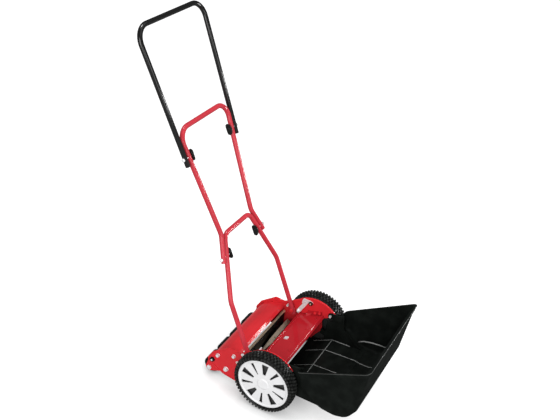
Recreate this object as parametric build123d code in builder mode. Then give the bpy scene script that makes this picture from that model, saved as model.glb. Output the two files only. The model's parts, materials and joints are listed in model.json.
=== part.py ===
from build123d import *
import math
import os

# Push reel mower with a front grass catcher. Millimetres, X along the wheel axle, +Y forward, +Z up.
# The origin is on the ground, under the middle of the axle. "Right" is +X.
# Chassis points are written as (y, h), where h is the height above the axle, for a wheel of 100 mm radius.
# The side profile follows the wheel's radius, the width follows the gap between the plates.

# Driving sizes
TYRE_RADIUS = 100.0
PLATE_HALF_GAP = 150.0
TUBE_RADIUS = 7.5
SHEET = 2.0
BOLT_RADIUS = 3.0
PROFILE = TYRE_RADIUS / 100


def spot(y, h):
    """A chassis point, sized to the wheel."""
    return (y * PROFILE, h * PROFILE)


# Wheels
TYRE_WIDTH = 42.0
LUG_HEIGHT = 4.0
LUG_COUNT = 40
LUG_ROWS = 3
LUG_SHARE = 0.58
TYRE_SHOULDER = 5.0
RIM_RADIUS = 84.0 * PROFILE
RIM_WALL = 5.0
RIM_DEPTH = 32.6
WEB_INSET = 18.0
WEB_THICKNESS = 4.0
HUB_RADIUS = 13.0
HUB_LENGTH = 29.0
CAP_THICKNESS = 6.1
CAP_SKIN = 3.0
CAP_RING = 5.0
CAP_BOSS_RADIUS = 16.0
CAP_SLOT_PAIRS = 5
SLOT_INNER = 35.0 * PROFILE
SLOT_OUTER = 74.5 * PROFILE
WIDE_SLOT = (8.5, 23.5)
NARROW_SLOT = (4.5, 11.0)
AXLE_RADIUS = 6.0
RUNNING_GAP = 0.06
WHEEL_GAP = 4.5

# Side plates
PLATE_THICKNESS = 2.5
PLATE_LIP_HEIGHT = 2.0
PLATE_LIP_WIDTH = 2.4
PLATE_EDGE_ROUND = 2.0
DISC_RADIUS = 93.0 * PROFILE
DISC_FRONT_ANGLE = 38.6
DISC_REAR_ANGLE = 132.5
PLATE_EDGE = [
    spot(24.6, 28.5), spot(30.0, -15.0), spot(-5.0, -68.0), spot(-117.5, -77.2), spot(-154.2, -71.8),
    spot(-207.1, -49.7), spot(-216.0, -33.0), spot(-199.0, -2.3), spot(-146.4, 39.1), spot(-115.8, 36.5),
    spot(-94.7, 46.5),
]
PLATE_CORNER_RADII = [8, 16, 20, 20, 20, 10, 10, 12, 14, 12, 12]
FIT_GAP = 0.3

# Gear drive and cutting reel
GEAR_BACKING = 0.875
RING_TEETH = 60
PINION_TEETH = 12
GEAR_WIDTH = 12.0
PINION_WIDTH = 11.0
BACKLASH = 0.4
ADDENDUM = 0.9
DEDENDUM = 1.25
PRESSURE_SLOPE = math.tan(math.radians(20))
REEL_DIRECTION = 215.7
REEL_RADIUS = 45.0 * PROFILE
REEL_CLEARANCE = 22.0
BLADE_COUNT = 5
BLADE_DEPTH = 14.0
BLADE_THICKNESS = 2.5
BLADE_TWIST = 58.0
BLADE_SECTIONS = 5
SPIDER_COUNT = 4
SPIDER_THICKNESS = 2.5
SPIDER_HUB = 11.0
SPIDER_ARM = 9.0
SHAFT_RADIUS = 6.0
BUSH_RADIUS = 11.0
BUSH_FLANGE = 14.0
PAWL_SIZE = (4.0, 3.0, 17.0)
RECESS_RADIUS = 9.6
RECESS_DEPTH = 6.0
RATCHET_NOTCHES = 4
NOTCH_RADIUS = 1.6
CLIP_RADIUS = 9.5
CLIP_THICKNESS = 1.2

# Bed bar and knife
KNIFE_ANGLE = 252.0
KNIFE_GAP = 0.3
KNIFE_WIDTH = 29.3 * PROFILE
KNIFE_THICKNESS = 3.0
BED_BAR_THICKNESS = 4.0
BED_BAR_SETBACK = 11.0 * PROFILE
BED_BAR_WIDTH = 26.0 * PROFILE
BED_BAR_HEIGHT = 38.0
BACK_SHEET = 2.0
BACK_SHEET_TOP = 12.0
BACK_SHEET_INSET = 23.0
BED_BOLT_INSET = (13.5, 16.0)
KNIFE_SCREW_COUNT = 4
KNIFE_SCREW_RADIUS = 3.0

# Covers and cross members
COVER_LINE = [
    spot(-111.0, 18.5), spot(-119.5, 26.0), spot(-160.0, 13.5), spot(-190.0, -4.5), spot(-202.0, -25.0),
    spot(-203.0, -34.0),
]
COVER_RADII = [3, 40, 40, 5]
COVER_FLANGE = [
    spot(-119.0, 25.2), spot(-160.0, 12.5), spot(-187.0, -5.2), spot(-187.0, -15.0), spot(-160.0, -3.0),
    spot(-119.0, 9.0),
]
COVER_NOTCH_Y = -188.0 * PROFILE
COVER_BOLTS = [spot(-124.9, 15.5), spot(-180.0, -8.5)]
DEFLECTOR_LINE = [spot(-52.0, 25.0), spot(-49.0, 19.0), spot(25.5, 44.4), spot(33.0, 37.0)]
DEFLECTOR_RADII = [3, 4]
DEFLECTOR_FLANGE = [spot(-26.0, 26.5), spot(-26.0, 40.0), spot(23.0, 56.8), spot(23.0, 43.3)]
DEFLECTOR_BOLTS = [spot(0.5, 43.4), spot(16.0, 48.7)]
DEFLECTOR_NOTCH = 22.0 * PROFILE
GUSSET_REAR = -25.5 * PROFILE
GUSSET_FRONT = -6.5 * PROFILE
GUSSET_RISE = 11.0
GUSSET_REACH = 24.0
CENTRE_BOLT_Y = -26.0 * PROFILE
CENTRE_BOLT_SIZE = 12.0
TIE_ROD = spot(-110.0, -2.0)
TIE_ROD_RADIUS = 5.0
STRAP_TOP = spot(-19.0, 74.0)
STRAP_ELBOW = spot(-37.0, 68.0)
STRAP_FOOT = spot(-58.5, 25.0)
STRAP_WIDTH = 13.0
STRAP_THICKNESS = 3.0
STRAP_ARM = 27.0
STRAP_EAR = 10.0

# Fasteners
LARGE_BOLT_RADIUS = 4.0
LOW_HEAD = 2.8
HEAD_HEIGHT = 7.0
HEAD_RADIUS = 5.5
NUT_SIZE = 10.0
NUT_HEIGHT = 5.0

# Rear roller and its height adjustment
ROLLER_RADIUS = 26.0 * PROFILE
ROLLER_Y = -209.1 * PROFILE
ROLLER_CLEARANCE = 12.0
ROLLER_SEGMENTS = 4
ROLLER_GROOVE = 24.0
ROLLER_EDGE = 3.0
ROLLER_AXLE_RADIUS = 5.0
BRACKET_THICKNESS = 2.8
BRACKET_PIVOT = spot(-147.9, -48.5)
BRACKET_CLAMP = spot(-198.2, -33.5)
BRACKET_LOBE = 13.0
BRACKET_PIVOT_LOBE = 11.0
BRACKET_CLAMP_LOBE = 12.0
BRACKET_SWING = 5.0
CLAMP_NUT_SIZE = 15.0

# Handle: distances run up the handle's plane from the pivot, half widths are along X
HANDLE_LEAN = 24.6
HANDLE_PIVOT = spot(-77.7, 24.4)
TUBE_WALL = 1.5
LEG_GAP = 0.5
LEG_END = -15.0
LEG_BEND = 196.0
LOWER_SLOPE = 0.375
LOWER_TOP = 384.0
LOWER_BOLT = 324.0
MIDDLE_END = 310.0
MIDDLE_TOP = 728.0
MIDDLE_TOP_HALF = 125.0
UPPER_SLOPE = 0.1125
UPPER_BOLT = 648.0
UPPER_END = 624.0
UPPER_JOG = (698.0, 729.0)
UPPER_TOP = 1028.0
UPPER_TOP_HALF = 159.0
UPPER_TAPER = 0.1045
LOWER_LAP_GAP = 1.5
UPPER_LAP_GAP = 0.6
LOWER_RADII = [60, 30, 30, 60]
MIDDLE_CORNER = 40.0
UPPER_CORNER = 45.0
KINK_RADIUS = 40.0
JOG_RADIUS = 30.0
KNOB_RADIUS = 10.0
KNOB_LENGTH = 8.0
KNOB_LOBES = 6
KNOB_GRIP = 2.6
STOP_RISE = 18.0
STOP_RADIUS = 3.5

# Grass catcher
WALL = 3.0
CATCHER_REAR_TOP = spot(93.1, 78.5)
CATCHER_FRONT_TOP = spot(308.4, 198.5)
CATCHER_UNDERSIDE = [
    spot(289.0, 31.0), spot(262.0, -16.0), spot(223.0, -29.0), spot(178.0, -27.0), spot(147.0, -12.0),
    spot(120.0, 14.0), spot(104.0, 18.0),
]
CATCHER_BENDS = [30.0, 50.0, 50.0, 50.0, 40.0, 20.0, 16.0]
CATCHER_EDGE = 12.0
CATCHER_REAR_OVERHANG = 19.3
CATCHER_FRONT_OVERHANG = 37.6
CATCHER_FLOOR_OVERHANG = 16.0
RIM_BAND = 14.0
RIM_PROUD = 2.5
THROAT_INSET = 4.0
CREST = spot(75.0, -31.3)
RAMP_END = spot(-10.0, -77.0)
CHEEK_REAR = 44.0 * PROFILE
THROAT_FRONT = 190.0 * PROFILE
THROAT_RISE = 8.0
MOUTH_REAR = 65.0 * PROFILE
MOUTH_FRONT = 176.0 * PROFILE
FLOOR_RIB_COUNT = 3
FLOOR_RIB_PITCH = 84.0
PEG = spot(56.0, 60.0)
PEG_RADIUS = 4.0
PEG_LENGTH = 14.0
HOOK_RADIUS = 9.0
HOOK_WIDTH = 5.0
PROP_TIP = spot(29.2, -15.0)
PROP_PAD = (6.0, 18.0)

# Derived values
AXLE_Z = TYRE_RADIUS
PLATE_OUT = PLATE_HALF_GAP + PLATE_THICKNESS
RIM_IN = PLATE_OUT + WHEEL_GAP
RIM_OUT = RIM_IN + RIM_DEPTH
WEB_IN = RIM_IN + WEB_INSET
RIM_INSIDE = RIM_RADIUS - RIM_WALL
MODULE = 2 * (RIM_INSIDE - GEAR_BACKING) / (RING_TEETH + 2 * DEDENDUM)
GEAR_CENTRES = (RING_TEETH - PINION_TEETH) * MODULE / 2
REEL_AXIS = (
    GEAR_CENTRES * math.cos(math.radians(REEL_DIRECTION)),
    GEAR_CENTRES * math.sin(math.radians(REEL_DIRECTION)),
)
REEL_HALF = PLATE_HALF_GAP - REEL_CLEARANCE
KNIFE_TURN = math.radians(KNIFE_ANGLE)
KNIFE_EDGE = (
    REEL_AXIS[0] + (REEL_RADIUS + KNIFE_GAP) * math.cos(KNIFE_TURN),
    REEL_AXIS[1] + (REEL_RADIUS + KNIFE_GAP) * math.sin(KNIFE_TURN),
)
BAR_FRONT = KNIFE_EDGE[0] - BED_BAR_SETBACK
BAR_BACK = BAR_FRONT - BED_BAR_WIDTH
BED_BOLT = (BAR_FRONT - BED_BOLT_INSET[0], KNIFE_EDGE[1] + BED_BOLT_INSET[1])
PINION_IN = RIM_IN + 0.6
PINION_OUT = PINION_IN + PINION_WIDTH
SHAFT_END = PINION_OUT + CLIP_THICKNESS + 1.2
LEG_HALF = PLATE_HALF_GAP - LEG_GAP - TUBE_RADIUS
ROLLER_AXIS = (ROLLER_Y, ROLLER_RADIUS - AXLE_Z)
ROLLER_HALF = PLATE_HALF_GAP - ROLLER_CLEARANCE
BRACKET_OUT = PLATE_HALF_GAP - FIT_GAP
BRACKET_IN = BRACKET_OUT - BRACKET_THICKNESS
THROAT_HALF = PLATE_HALF_GAP - THROAT_INSET
LEAN = math.radians(HANDLE_LEAN)
SIDES = ((1, "right"), (-1, "left"))

os.makedirs("parts", exist_ok=True)


def chassis(x):
    """Plane across the axle at x, with local coordinates (y, h)."""
    return Plane(origin=(x, 0, AXLE_Z), x_dir=(0, 1, 0), z_dir=(1, 0, 0))


def inner_end(side, near, far):
    """The lower X of a slab that runs from near to far outward on one side."""
    return min(side * near, side * far)


def polar(radius, degrees, centre=(0, 0)):
    """Point at a radius and an angle about a centre."""
    turn = math.radians(degrees)
    return (centre[0] + radius * math.cos(turn), centre[1] + radius * math.sin(turn))


def rod(x0, x1, centre, radius, mode=Mode.ADD):
    """Round bar along X between two stations."""
    with Locations(((x0 + x1) / 2, centre[0], AXLE_Z + centre[1])):
        Cylinder(radius, abs(x1 - x0), rotation=(0, 90, 0), mode=mode)


def hexagon(x0, x1, centre, across):
    """Hexagonal bar along X between two stations."""
    with BuildSketch(chassis(min(x0, x1))) as section:
        with Locations(centre):
            RegularPolygon(across / 2, 6, major_radius=False)
    extrude(section.sketch, amount=abs(x1 - x0))


def finish(piece, name):
    """Name a piece and write it."""
    piece.label = name
    export_step(piece, f"parts/{name}.step")


def tooth_outline(teeth, valley, peak, half_valley, half_peak, start):
    """Corners of a toothed outline whose first tooth is centred at the start angle, in degrees."""
    corners = []
    for tooth in range(teeth):
        middle = start + tooth * 360 / teeth
        corners.append(polar(valley, middle - half_valley))
        corners.append(polar(peak, middle - half_peak))
        corners.append(polar(peak, middle + half_peak))
        corners.append(polar(valley, middle + half_valley))
    return corners


def handle_point(rise):
    """The (y, h) point of the handle's plane at a distance up from the pivot."""
    return (HANDLE_PIVOT[0] - rise * math.sin(LEAN), HANDLE_PIVOT[1] + rise * math.cos(LEAN))


# Plane of the three handle tubes, with local coordinates (x, distance up from the pivot)
HANDLE = Plane(
    origin=(0, HANDLE_PIVOT[0], AXLE_Z + HANDLE_PIVOT[1]),
    x_dir=(1, 0, 0),
    z_dir=(0, -math.cos(LEAN), -math.sin(LEAN)),
)
LOWER_BOLT_AXIS = handle_point(LOWER_BOLT)
UPPER_BOLT_AXIS = handle_point(UPPER_BOLT)
STOP_OFFSET = TUBE_RADIUS + STOP_RADIUS + FIT_GAP
STOP_PIN = (
    handle_point(STOP_RISE)[0] - STOP_OFFSET * math.cos(LEAN),
    handle_point(STOP_RISE)[1] - STOP_OFFSET * math.sin(LEAN),
)

# Pressed side plates with a turned-out lip
PLATE_HOLES = [
    ((0, 0), AXLE_RADIUS),
    (REEL_AXIS, BUSH_RADIUS),
    (HANDLE_PIVOT, LARGE_BOLT_RADIUS),
    (STOP_PIN, STOP_RADIUS),
    (BED_BOLT, BOLT_RADIUS),
    (TIE_ROD, BOLT_RADIUS),
    (STRAP_TOP, BOLT_RADIUS),
    (STRAP_FOOT, BOLT_RADIUS),
    (BRACKET_PIVOT, LARGE_BOLT_RADIUS),
    (BRACKET_CLAMP, BOLT_RADIUS),
    (PEG, PEG_RADIUS),
]
PLATE_HOLES += [(bolt, BOLT_RADIUS) for bolt in COVER_BOLTS + DEFLECTOR_BOLTS]
DISC_START = polar(DISC_RADIUS, DISC_FRONT_ANGLE)
DISC_END = polar(DISC_RADIUS, DISC_REAR_ANGLE)

for side, hand in SIDES:
    with BuildPart() as side_plate:
        with BuildSketch(chassis(inner_end(side, PLATE_HALF_GAP, PLATE_OUT))) as outline:
            with BuildLine():
                FilletPolyline(DISC_START, *PLATE_EDGE, DISC_END, radius=PLATE_CORNER_RADII)
                ThreePointArc(DISC_END, (0, DISC_RADIUS), DISC_START)
            make_face()
        extrude(amount=PLATE_THICKNESS)
        lip_start = inner_end(side, PLATE_OUT, PLATE_OUT + PLATE_LIP_HEIGHT)
        with BuildSketch(chassis(lip_start)) as lip:
            with BuildLine():
                FilletPolyline(DISC_START, *PLATE_EDGE, DISC_END, radius=PLATE_CORNER_RADII)
                ThreePointArc(DISC_END, (0, DISC_RADIUS), DISC_START)
            make_face()
            offset(amount=-PLATE_LIP_WIDTH, mode=Mode.SUBTRACT)
        extrude(amount=PLATE_LIP_HEIGHT)
        inner_face = side_plate.faces().filter_by(Axis.X).sort_by(Axis.X)[0 if side > 0 else -1]
        fillet(inner_face.outer_wire().edges(), PLATE_EDGE_ROUND)
        for centre, radius in PLATE_HOLES:
            rod(side * PLATE_HALF_GAP, side * PLATE_OUT, centre, radius, Mode.SUBTRACT)
    finish(side_plate.part, f"{hand}_side_plate")

# Axle stubs, with a shoulder against the plate, and their nuts
for side, hand in SIDES:
    with BuildPart() as axle_stub:
        rod(side * (PLATE_HALF_GAP - 10), side * (RIM_IN + HUB_LENGTH + 5), (0, 0), AXLE_RADIUS)
        rod(side * PLATE_OUT, side * (RIM_IN - 0.7), (0, 0), AXLE_RADIUS + 5)
    finish(axle_stub.part, f"{hand}_axle_stub")

with BuildPart() as axle_nuts:
    for side, hand in SIDES:
        hexagon(side * (PLATE_HALF_GAP - 7), side * PLATE_HALF_GAP, (0, 0), 18)
        hexagon(side * (RIM_IN + HUB_LENGTH + 0.5), side * (RIM_IN + HUB_LENGTH + 4.6), (0, 0), 16)
    for side, hand in SIDES:
        rod(side * (PLATE_HALF_GAP - 10), side * (RIM_OUT + 5), (0, 0), AXLE_RADIUS, Mode.SUBTRACT)
finish(axle_nuts.part, "axle_nuts")

# Wheel rims: a cup open towards the plate, with the ring gear moulded inside it
RING_PITCH = RING_TEETH * MODULE / 2
SPACE_HALF = math.pi * MODULE / 4 + BACKLASH / 2
SPACE_BOTTOM = RING_PITCH + DEDENDUM * MODULE
SPACE_MOUTH = RING_PITCH - ADDENDUM * MODULE
BOTTOM_HALF = math.degrees((SPACE_HALF - DEDENDUM * MODULE * PRESSURE_SLOPE) / SPACE_BOTTOM)
MOUTH_HALF = math.degrees((SPACE_HALF + ADDENDUM * MODULE * PRESSURE_SLOPE) / SPACE_MOUTH)
BORE_RADIUS = AXLE_RADIUS + RUNNING_GAP
AXLE_LINE = Axis((0, 0, AXLE_Z), (1, 0, 0))
SECTION = Plane(origin=(0, 0, AXLE_Z), x_dir=(1, 0, 0), z_dir=(0, -1, 0))

for side, hand in SIDES:
    rim_profile = [
        (RIM_IN, RIM_RADIUS), (RIM_OUT, RIM_RADIUS), (RIM_OUT, RIM_INSIDE),
        (WEB_IN + WEB_THICKNESS, RIM_INSIDE), (WEB_IN + WEB_THICKNESS, HUB_RADIUS),
        (RIM_IN + HUB_LENGTH, HUB_RADIUS), (RIM_IN + HUB_LENGTH, BORE_RADIUS),
        (RIM_IN, BORE_RADIUS), (RIM_IN, HUB_RADIUS), (WEB_IN, HUB_RADIUS),
        (WEB_IN, RIM_INSIDE), (RIM_IN, RIM_INSIDE),
    ]
    with BuildPart() as wheel_rim:
        with BuildSketch(SECTION):
            with BuildLine():
                Polyline(*[(side * x, r) for x, r in rim_profile], close=True)
            make_face()
        revolve(axis=AXLE_LINE)
        gear_start = inner_end(side, RIM_IN + 0.6, RIM_IN + 0.6 + GEAR_WIDTH)
        spaces = tooth_outline(RING_TEETH, SPACE_MOUTH, SPACE_BOTTOM, MOUTH_HALF, BOTTOM_HALF, REEL_DIRECTION)
        with BuildSketch(chassis(gear_start)):
            Circle(RIM_INSIDE + RIM_WALL / 4)
            with BuildLine():
                Polyline(*spaces, close=True)
            make_face(mode=Mode.SUBTRACT)
        extrude(amount=GEAR_WIDTH)
    finish(wheel_rim.part, f"{hand}_wheel_rim")

# Tyres: staggered rows of blocks round a plain carcass, with sloped shoulders
LUG_PITCH = 360 / LUG_COUNT
LUG_HALF = LUG_PITCH * LUG_SHARE / 2
ROW_WIDTH = TYRE_WIDTH / LUG_ROWS
TREAD_RADIUS = TYRE_RADIUS - LUG_HEIGHT

for side, hand in SIDES:
    tyre_out = RIM_IN + TYRE_WIDTH
    with BuildPart() as tyre:
        for row in range(LUG_ROWS):
            row_start = inner_end(side, RIM_IN + row * ROW_WIDTH, RIM_IN + (row + 1) * ROW_WIDTH)
            stagger = -90 + LUG_PITCH / 2 * (row % 2)
            blocks = tooth_outline(LUG_COUNT, TREAD_RADIUS, TYRE_RADIUS, LUG_HALF, LUG_HALF * 0.85, stagger)
            with BuildSketch(chassis(row_start)):
                with BuildLine():
                    Polyline(*blocks, close=True)
                make_face()
                Circle(RIM_RADIUS, mode=Mode.SUBTRACT)
            extrude(amount=ROW_WIDTH)
        for edge, inward in ((RIM_IN, 1), (tyre_out, -1)):
            with BuildSketch(SECTION):
                with BuildLine():
                    Polyline(
                        (side * (edge - inward), TYRE_RADIUS + 1),
                        (side * (edge + inward * TYRE_SHOULDER), TYRE_RADIUS + 1),
                        (side * edge, TREAD_RADIUS - TYRE_SHOULDER),
                        (side * (edge - inward), TREAD_RADIUS - TYRE_SHOULDER),
                        close=True,
                    )
                make_face()
            revolve(axis=AXLE_LINE, mode=Mode.SUBTRACT)
    finish(tyre.part, f"{hand}_tyre")

# Hub caps: a dished disc with alternate wide and narrow slots
CAP_OUT = RIM_OUT + CAP_THICKNESS
for side, hand in SIDES:
    cap_profile = [
        (RIM_OUT, RIM_RADIUS), (CAP_OUT - 1.5, RIM_RADIUS), (CAP_OUT, RIM_RADIUS - 1.5),
        (CAP_OUT, RIM_RADIUS - CAP_RING), (CAP_OUT - 2, RIM_RADIUS - CAP_RING - 3),
        (CAP_OUT - 2, CAP_BOSS_RADIUS + 4), (CAP_OUT, CAP_BOSS_RADIUS), (CAP_OUT, 0),
        (CAP_OUT - CAP_SKIN + 1.4, 0), (CAP_OUT - CAP_SKIN + 1.4, CAP_BOSS_RADIUS - 2),
        (CAP_OUT - 2 - CAP_SKIN, CAP_BOSS_RADIUS + 2), (CAP_OUT - 2 - CAP_SKIN, RIM_INSIDE),
        (RIM_OUT, RIM_INSIDE),
    ]
    with BuildPart() as hub_cap:
        with BuildSketch(SECTION):
            with BuildLine():
                Polyline(*[(side * x, r) for x, r in cap_profile], close=True)
            make_face()
        revolve(axis=AXLE_LINE)
        with BuildSketch(chassis(inner_end(side, RIM_OUT - 5, CAP_OUT + 5))):
            for pair in range(CAP_SLOT_PAIRS):
                for offset_angle, slot in ((0, WIDE_SLOT), (180 / CAP_SLOT_PAIRS, NARROW_SLOT)):
                    turn = 90 + pair * 360 / CAP_SLOT_PAIRS + offset_angle
                    inner = math.degrees(slot[0] / 2 / SLOT_INNER)
                    outer = math.degrees(slot[1] / 2 / SLOT_OUTER)
                    with BuildLine():
                        Polyline(
                            polar(SLOT_INNER, turn - inner), polar(SLOT_OUTER, turn - outer),
                            polar(SLOT_OUTER, turn + outer), polar(SLOT_INNER, turn + inner), close=True,
                        )
                    make_face()
        extrude(amount=CAP_OUT - RIM_OUT + 10, mode=Mode.SUBTRACT)
    finish(hub_cap.part, f"{hand}_hub_cap")

# Cutting reel: helical blades let into star-shaped spiders on one shaft
PAWL_X = PINION_OUT - RECESS_DEPTH / 2
BLADE_MIDDLE = REEL_RADIUS - BLADE_DEPTH / 2


def blade_angle(blade, x):
    """Angle of a blade about the reel's axis at a station along it."""
    return blade * 360 / BLADE_COUNT + BLADE_TWIST * (x / (2 * REEL_HALF) + 0.5)


with BuildPart() as reel_shaft:
    rod(-SHAFT_END, SHAFT_END, REEL_AXIS, SHAFT_RADIUS)
    for side, hand in SIDES:
        with Locations((side * PAWL_X, REEL_AXIS[0], AXLE_Z + REEL_AXIS[1])):
            Box(*PAWL_SIZE, mode=Mode.SUBTRACT)
finish(reel_shaft.part, "reel_shaft")

with BuildPart() as reel_blades:
    for blade in range(BLADE_COUNT):
        for station in range(BLADE_SECTIONS):
            x = -REEL_HALF + station * 2 * REEL_HALF / (BLADE_SECTIONS - 1)
            angle = blade_angle(blade, x)
            with BuildSketch(chassis(x)):
                with Locations(Location((*polar(BLADE_MIDDLE, angle, REEL_AXIS), 0), (0, 0, angle))):
                    Rectangle(BLADE_DEPTH, BLADE_THICKNESS)
        loft()
finish(reel_blades.part, "reel_blades")

with BuildPart() as reel_spiders:
    for spider in range(SPIDER_COUNT):
        x = REEL_HALF * 0.88 * (2 * spider / (SPIDER_COUNT - 1) - 1)
        with BuildSketch(chassis(x - SPIDER_THICKNESS / 2)):
            with Locations(REEL_AXIS):
                Circle(SPIDER_HUB)
            for blade in range(BLADE_COUNT):
                angle = blade_angle(blade, x)
                arm = REEL_RADIUS - BLADE_DEPTH / 2
                with Locations(Location((*polar(arm / 2, angle, REEL_AXIS), 0), (0, 0, angle))):
                    Rectangle(arm, SPIDER_ARM)
            with Locations(REEL_AXIS):
                Circle(SHAFT_RADIUS, mode=Mode.SUBTRACT)
        extrude(amount=SPIDER_THICKNESS)
    add(reel_blades.part, mode=Mode.SUBTRACT)
finish(reel_spiders.part, "reel_spiders")

# Pinions with a ratchet recess in their outer face, the pawls in the shaft and the retaining clips
PINION_PITCH = PINION_TEETH * MODULE / 2
PINION_TIP = PINION_PITCH + ADDENDUM * MODULE
PINION_ROOT = PINION_PITCH - 1.2 * MODULE
TOOTH_HALF = math.pi * MODULE / 4 - BACKLASH / 2
TIP_HALF = math.degrees((TOOTH_HALF - ADDENDUM * MODULE * PRESSURE_SLOPE) / PINION_TIP)
ROOT_HALF = math.degrees(TOOTH_HALF * 1.2 / PINION_ROOT)

for side, hand in SIDES:
    teeth = tooth_outline(PINION_TEETH, PINION_ROOT, PINION_TIP, ROOT_HALF, TIP_HALF, REEL_DIRECTION)
    with BuildPart() as pinion:
        with BuildSketch(chassis(inner_end(side, PINION_IN, PINION_OUT))):
            with Locations(REEL_AXIS):
                Polygon(*teeth, align=None)
        extrude(amount=PINION_WIDTH)
        rod(side * PINION_IN, side * PINION_OUT, REEL_AXIS, SHAFT_RADIUS + RUNNING_GAP, Mode.SUBTRACT)
        with BuildSketch(chassis(inner_end(side, PINION_OUT - RECESS_DEPTH, PINION_OUT))):
            with Locations(REEL_AXIS):
                Circle(RECESS_RADIUS)
                with PolarLocations(RECESS_RADIUS - NOTCH_RADIUS / 3, RATCHET_NOTCHES):
                    Circle(NOTCH_RADIUS)
        extrude(amount=RECESS_DEPTH, mode=Mode.SUBTRACT)
    finish(pinion.part, f"{hand}_pinion")

with BuildPart() as drive_pawls:
    for side, hand in SIDES:
        with Locations((side * PAWL_X, REEL_AXIS[0], AXLE_Z + REEL_AXIS[1])):
            Box(*PAWL_SIZE)
finish(drive_pawls.part, "drive_pawls")

with BuildPart() as pinion_clips:
    for side, hand in SIDES:
        rod(side * (PINION_OUT + 0.4), side * (PINION_OUT + 0.4 + CLIP_THICKNESS), REEL_AXIS, CLIP_RADIUS)
    rod(-SHAFT_END, SHAFT_END, REEL_AXIS, SHAFT_RADIUS, Mode.SUBTRACT)
finish(pinion_clips.part, "pinion_clips")

# Flanged bushes that carry the reel in the plates
for side, hand in SIDES:
    with BuildPart() as reel_bush:
        bush_in = side * (PLATE_HALF_GAP - 3)
        rod(bush_in, side * (PINION_IN - 0.4), REEL_AXIS, BUSH_RADIUS)
        rod(bush_in, side * PLATE_HALF_GAP, REEL_AXIS, BUSH_FLANGE)
        rod(bush_in, side * PINION_IN, REEL_AXIS, SHAFT_RADIUS + RUNNING_GAP, Mode.SUBTRACT)
    finish(reel_bush.part, f"{hand}_reel_bush")

# Bed knife under an angle-section bed bar
KNIFE_BACK = KNIFE_EDGE[0] - KNIFE_WIDTH
SCREW_Y = (BAR_FRONT + KNIFE_BACK) / 2
SCREW_STATIONS = [REEL_HALF * (2 * n / (KNIFE_SCREW_COUNT - 1) - 1) * 0.85 for n in range(KNIFE_SCREW_COUNT)]

with BuildPart() as bed_knife:
    with BuildSketch(chassis(-REEL_HALF - 4)):
        with BuildLine():
            Polyline(
                KNIFE_EDGE, (KNIFE_BACK, KNIFE_EDGE[1]), (KNIFE_BACK, KNIFE_EDGE[1] - KNIFE_THICKNESS),
                (KNIFE_EDGE[0] + 0.8, KNIFE_EDGE[1] - KNIFE_THICKNESS), close=True,
            )
        make_face()
    extrude(amount=2 * REEL_HALF + 8)
    for x in SCREW_STATIONS:
        with Locations((x, SCREW_Y, AXLE_Z + KNIFE_EDGE[1] - KNIFE_THICKNESS / 2)):
            Cylinder(KNIFE_SCREW_RADIUS, KNIFE_THICKNESS, mode=Mode.SUBTRACT)
finish(bed_knife.part, "bed_knife")

with BuildPart() as bed_bar:
    with BuildSketch(chassis(-PLATE_HALF_GAP + FIT_GAP)):
        with BuildLine():
            Polyline(
                (BAR_FRONT, KNIFE_EDGE[1]), (BAR_FRONT, KNIFE_EDGE[1] + BED_BAR_THICKNESS),
                (BAR_BACK + BED_BAR_THICKNESS, KNIFE_EDGE[1] + BED_BAR_THICKNESS),
                (BAR_BACK + BED_BAR_THICKNESS, KNIFE_EDGE[1] + BED_BAR_HEIGHT),
                (BAR_BACK, KNIFE_EDGE[1] + BED_BAR_HEIGHT), (BAR_BACK, KNIFE_EDGE[1]), close=True,
            )
        make_face()
    extrude(amount=2 * (PLATE_HALF_GAP - FIT_GAP))
    for side, hand in SIDES:
        tab_near = PLATE_HALF_GAP - FIT_GAP - BED_BAR_THICKNESS
        with BuildSketch(chassis(inner_end(side, tab_near, PLATE_HALF_GAP - FIT_GAP))):
            with BuildLine():
                Polyline(
                    (BAR_BACK + 1, KNIFE_EDGE[1] + 1), (BAR_FRONT, KNIFE_EDGE[1] + 1),
                    (BAR_FRONT, KNIFE_EDGE[1] + BED_BAR_HEIGHT / 2),
                    (BAR_BACK + 1, KNIFE_EDGE[1] + BED_BAR_HEIGHT - 2), close=True,
                )
            make_face()
        extrude(amount=BED_BAR_THICKNESS)
        rod(side * tab_near, side * PLATE_HALF_GAP, BED_BOLT, BOLT_RADIUS, Mode.SUBTRACT)
    for x in SCREW_STATIONS:
        with Locations((x, SCREW_Y, AXLE_Z + KNIFE_EDGE[1] + BED_BAR_THICKNESS / 2)):
            Cylinder(KNIFE_SCREW_RADIUS, BED_BAR_THICKNESS, mode=Mode.SUBTRACT)
    sheet_middle = (KNIFE_EDGE[1] + BED_BAR_THICKNESS + BACK_SHEET_TOP) / 2
    sheet_height = BACK_SHEET_TOP - KNIFE_EDGE[1] - BED_BAR_THICKNESS
    with Locations((0, BAR_BACK + BACK_SHEET / 2, AXLE_Z + sheet_middle)):
        Box(2 * (PLATE_HALF_GAP - BACK_SHEET_INSET), BACK_SHEET, sheet_height)
finish(bed_bar.part, "bed_bar")

with BuildPart() as bed_knife_screws:
    screw_length = KNIFE_THICKNESS + BED_BAR_THICKNESS
    screw_middle = KNIFE_EDGE[1] + (BED_BAR_THICKNESS - KNIFE_THICKNESS) / 2
    for x in SCREW_STATIONS:
        with Locations((x, SCREW_Y, AXLE_Z + screw_middle)):
            Cylinder(KNIFE_SCREW_RADIUS, screw_length)
        with Locations((x, SCREW_Y, AXLE_Z + KNIFE_EDGE[1] - KNIFE_THICKNESS - 1)):
            Cylinder(KNIFE_SCREW_RADIUS + 2, 2)
finish(bed_knife_screws.part, "bed_knife_screws")


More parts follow.
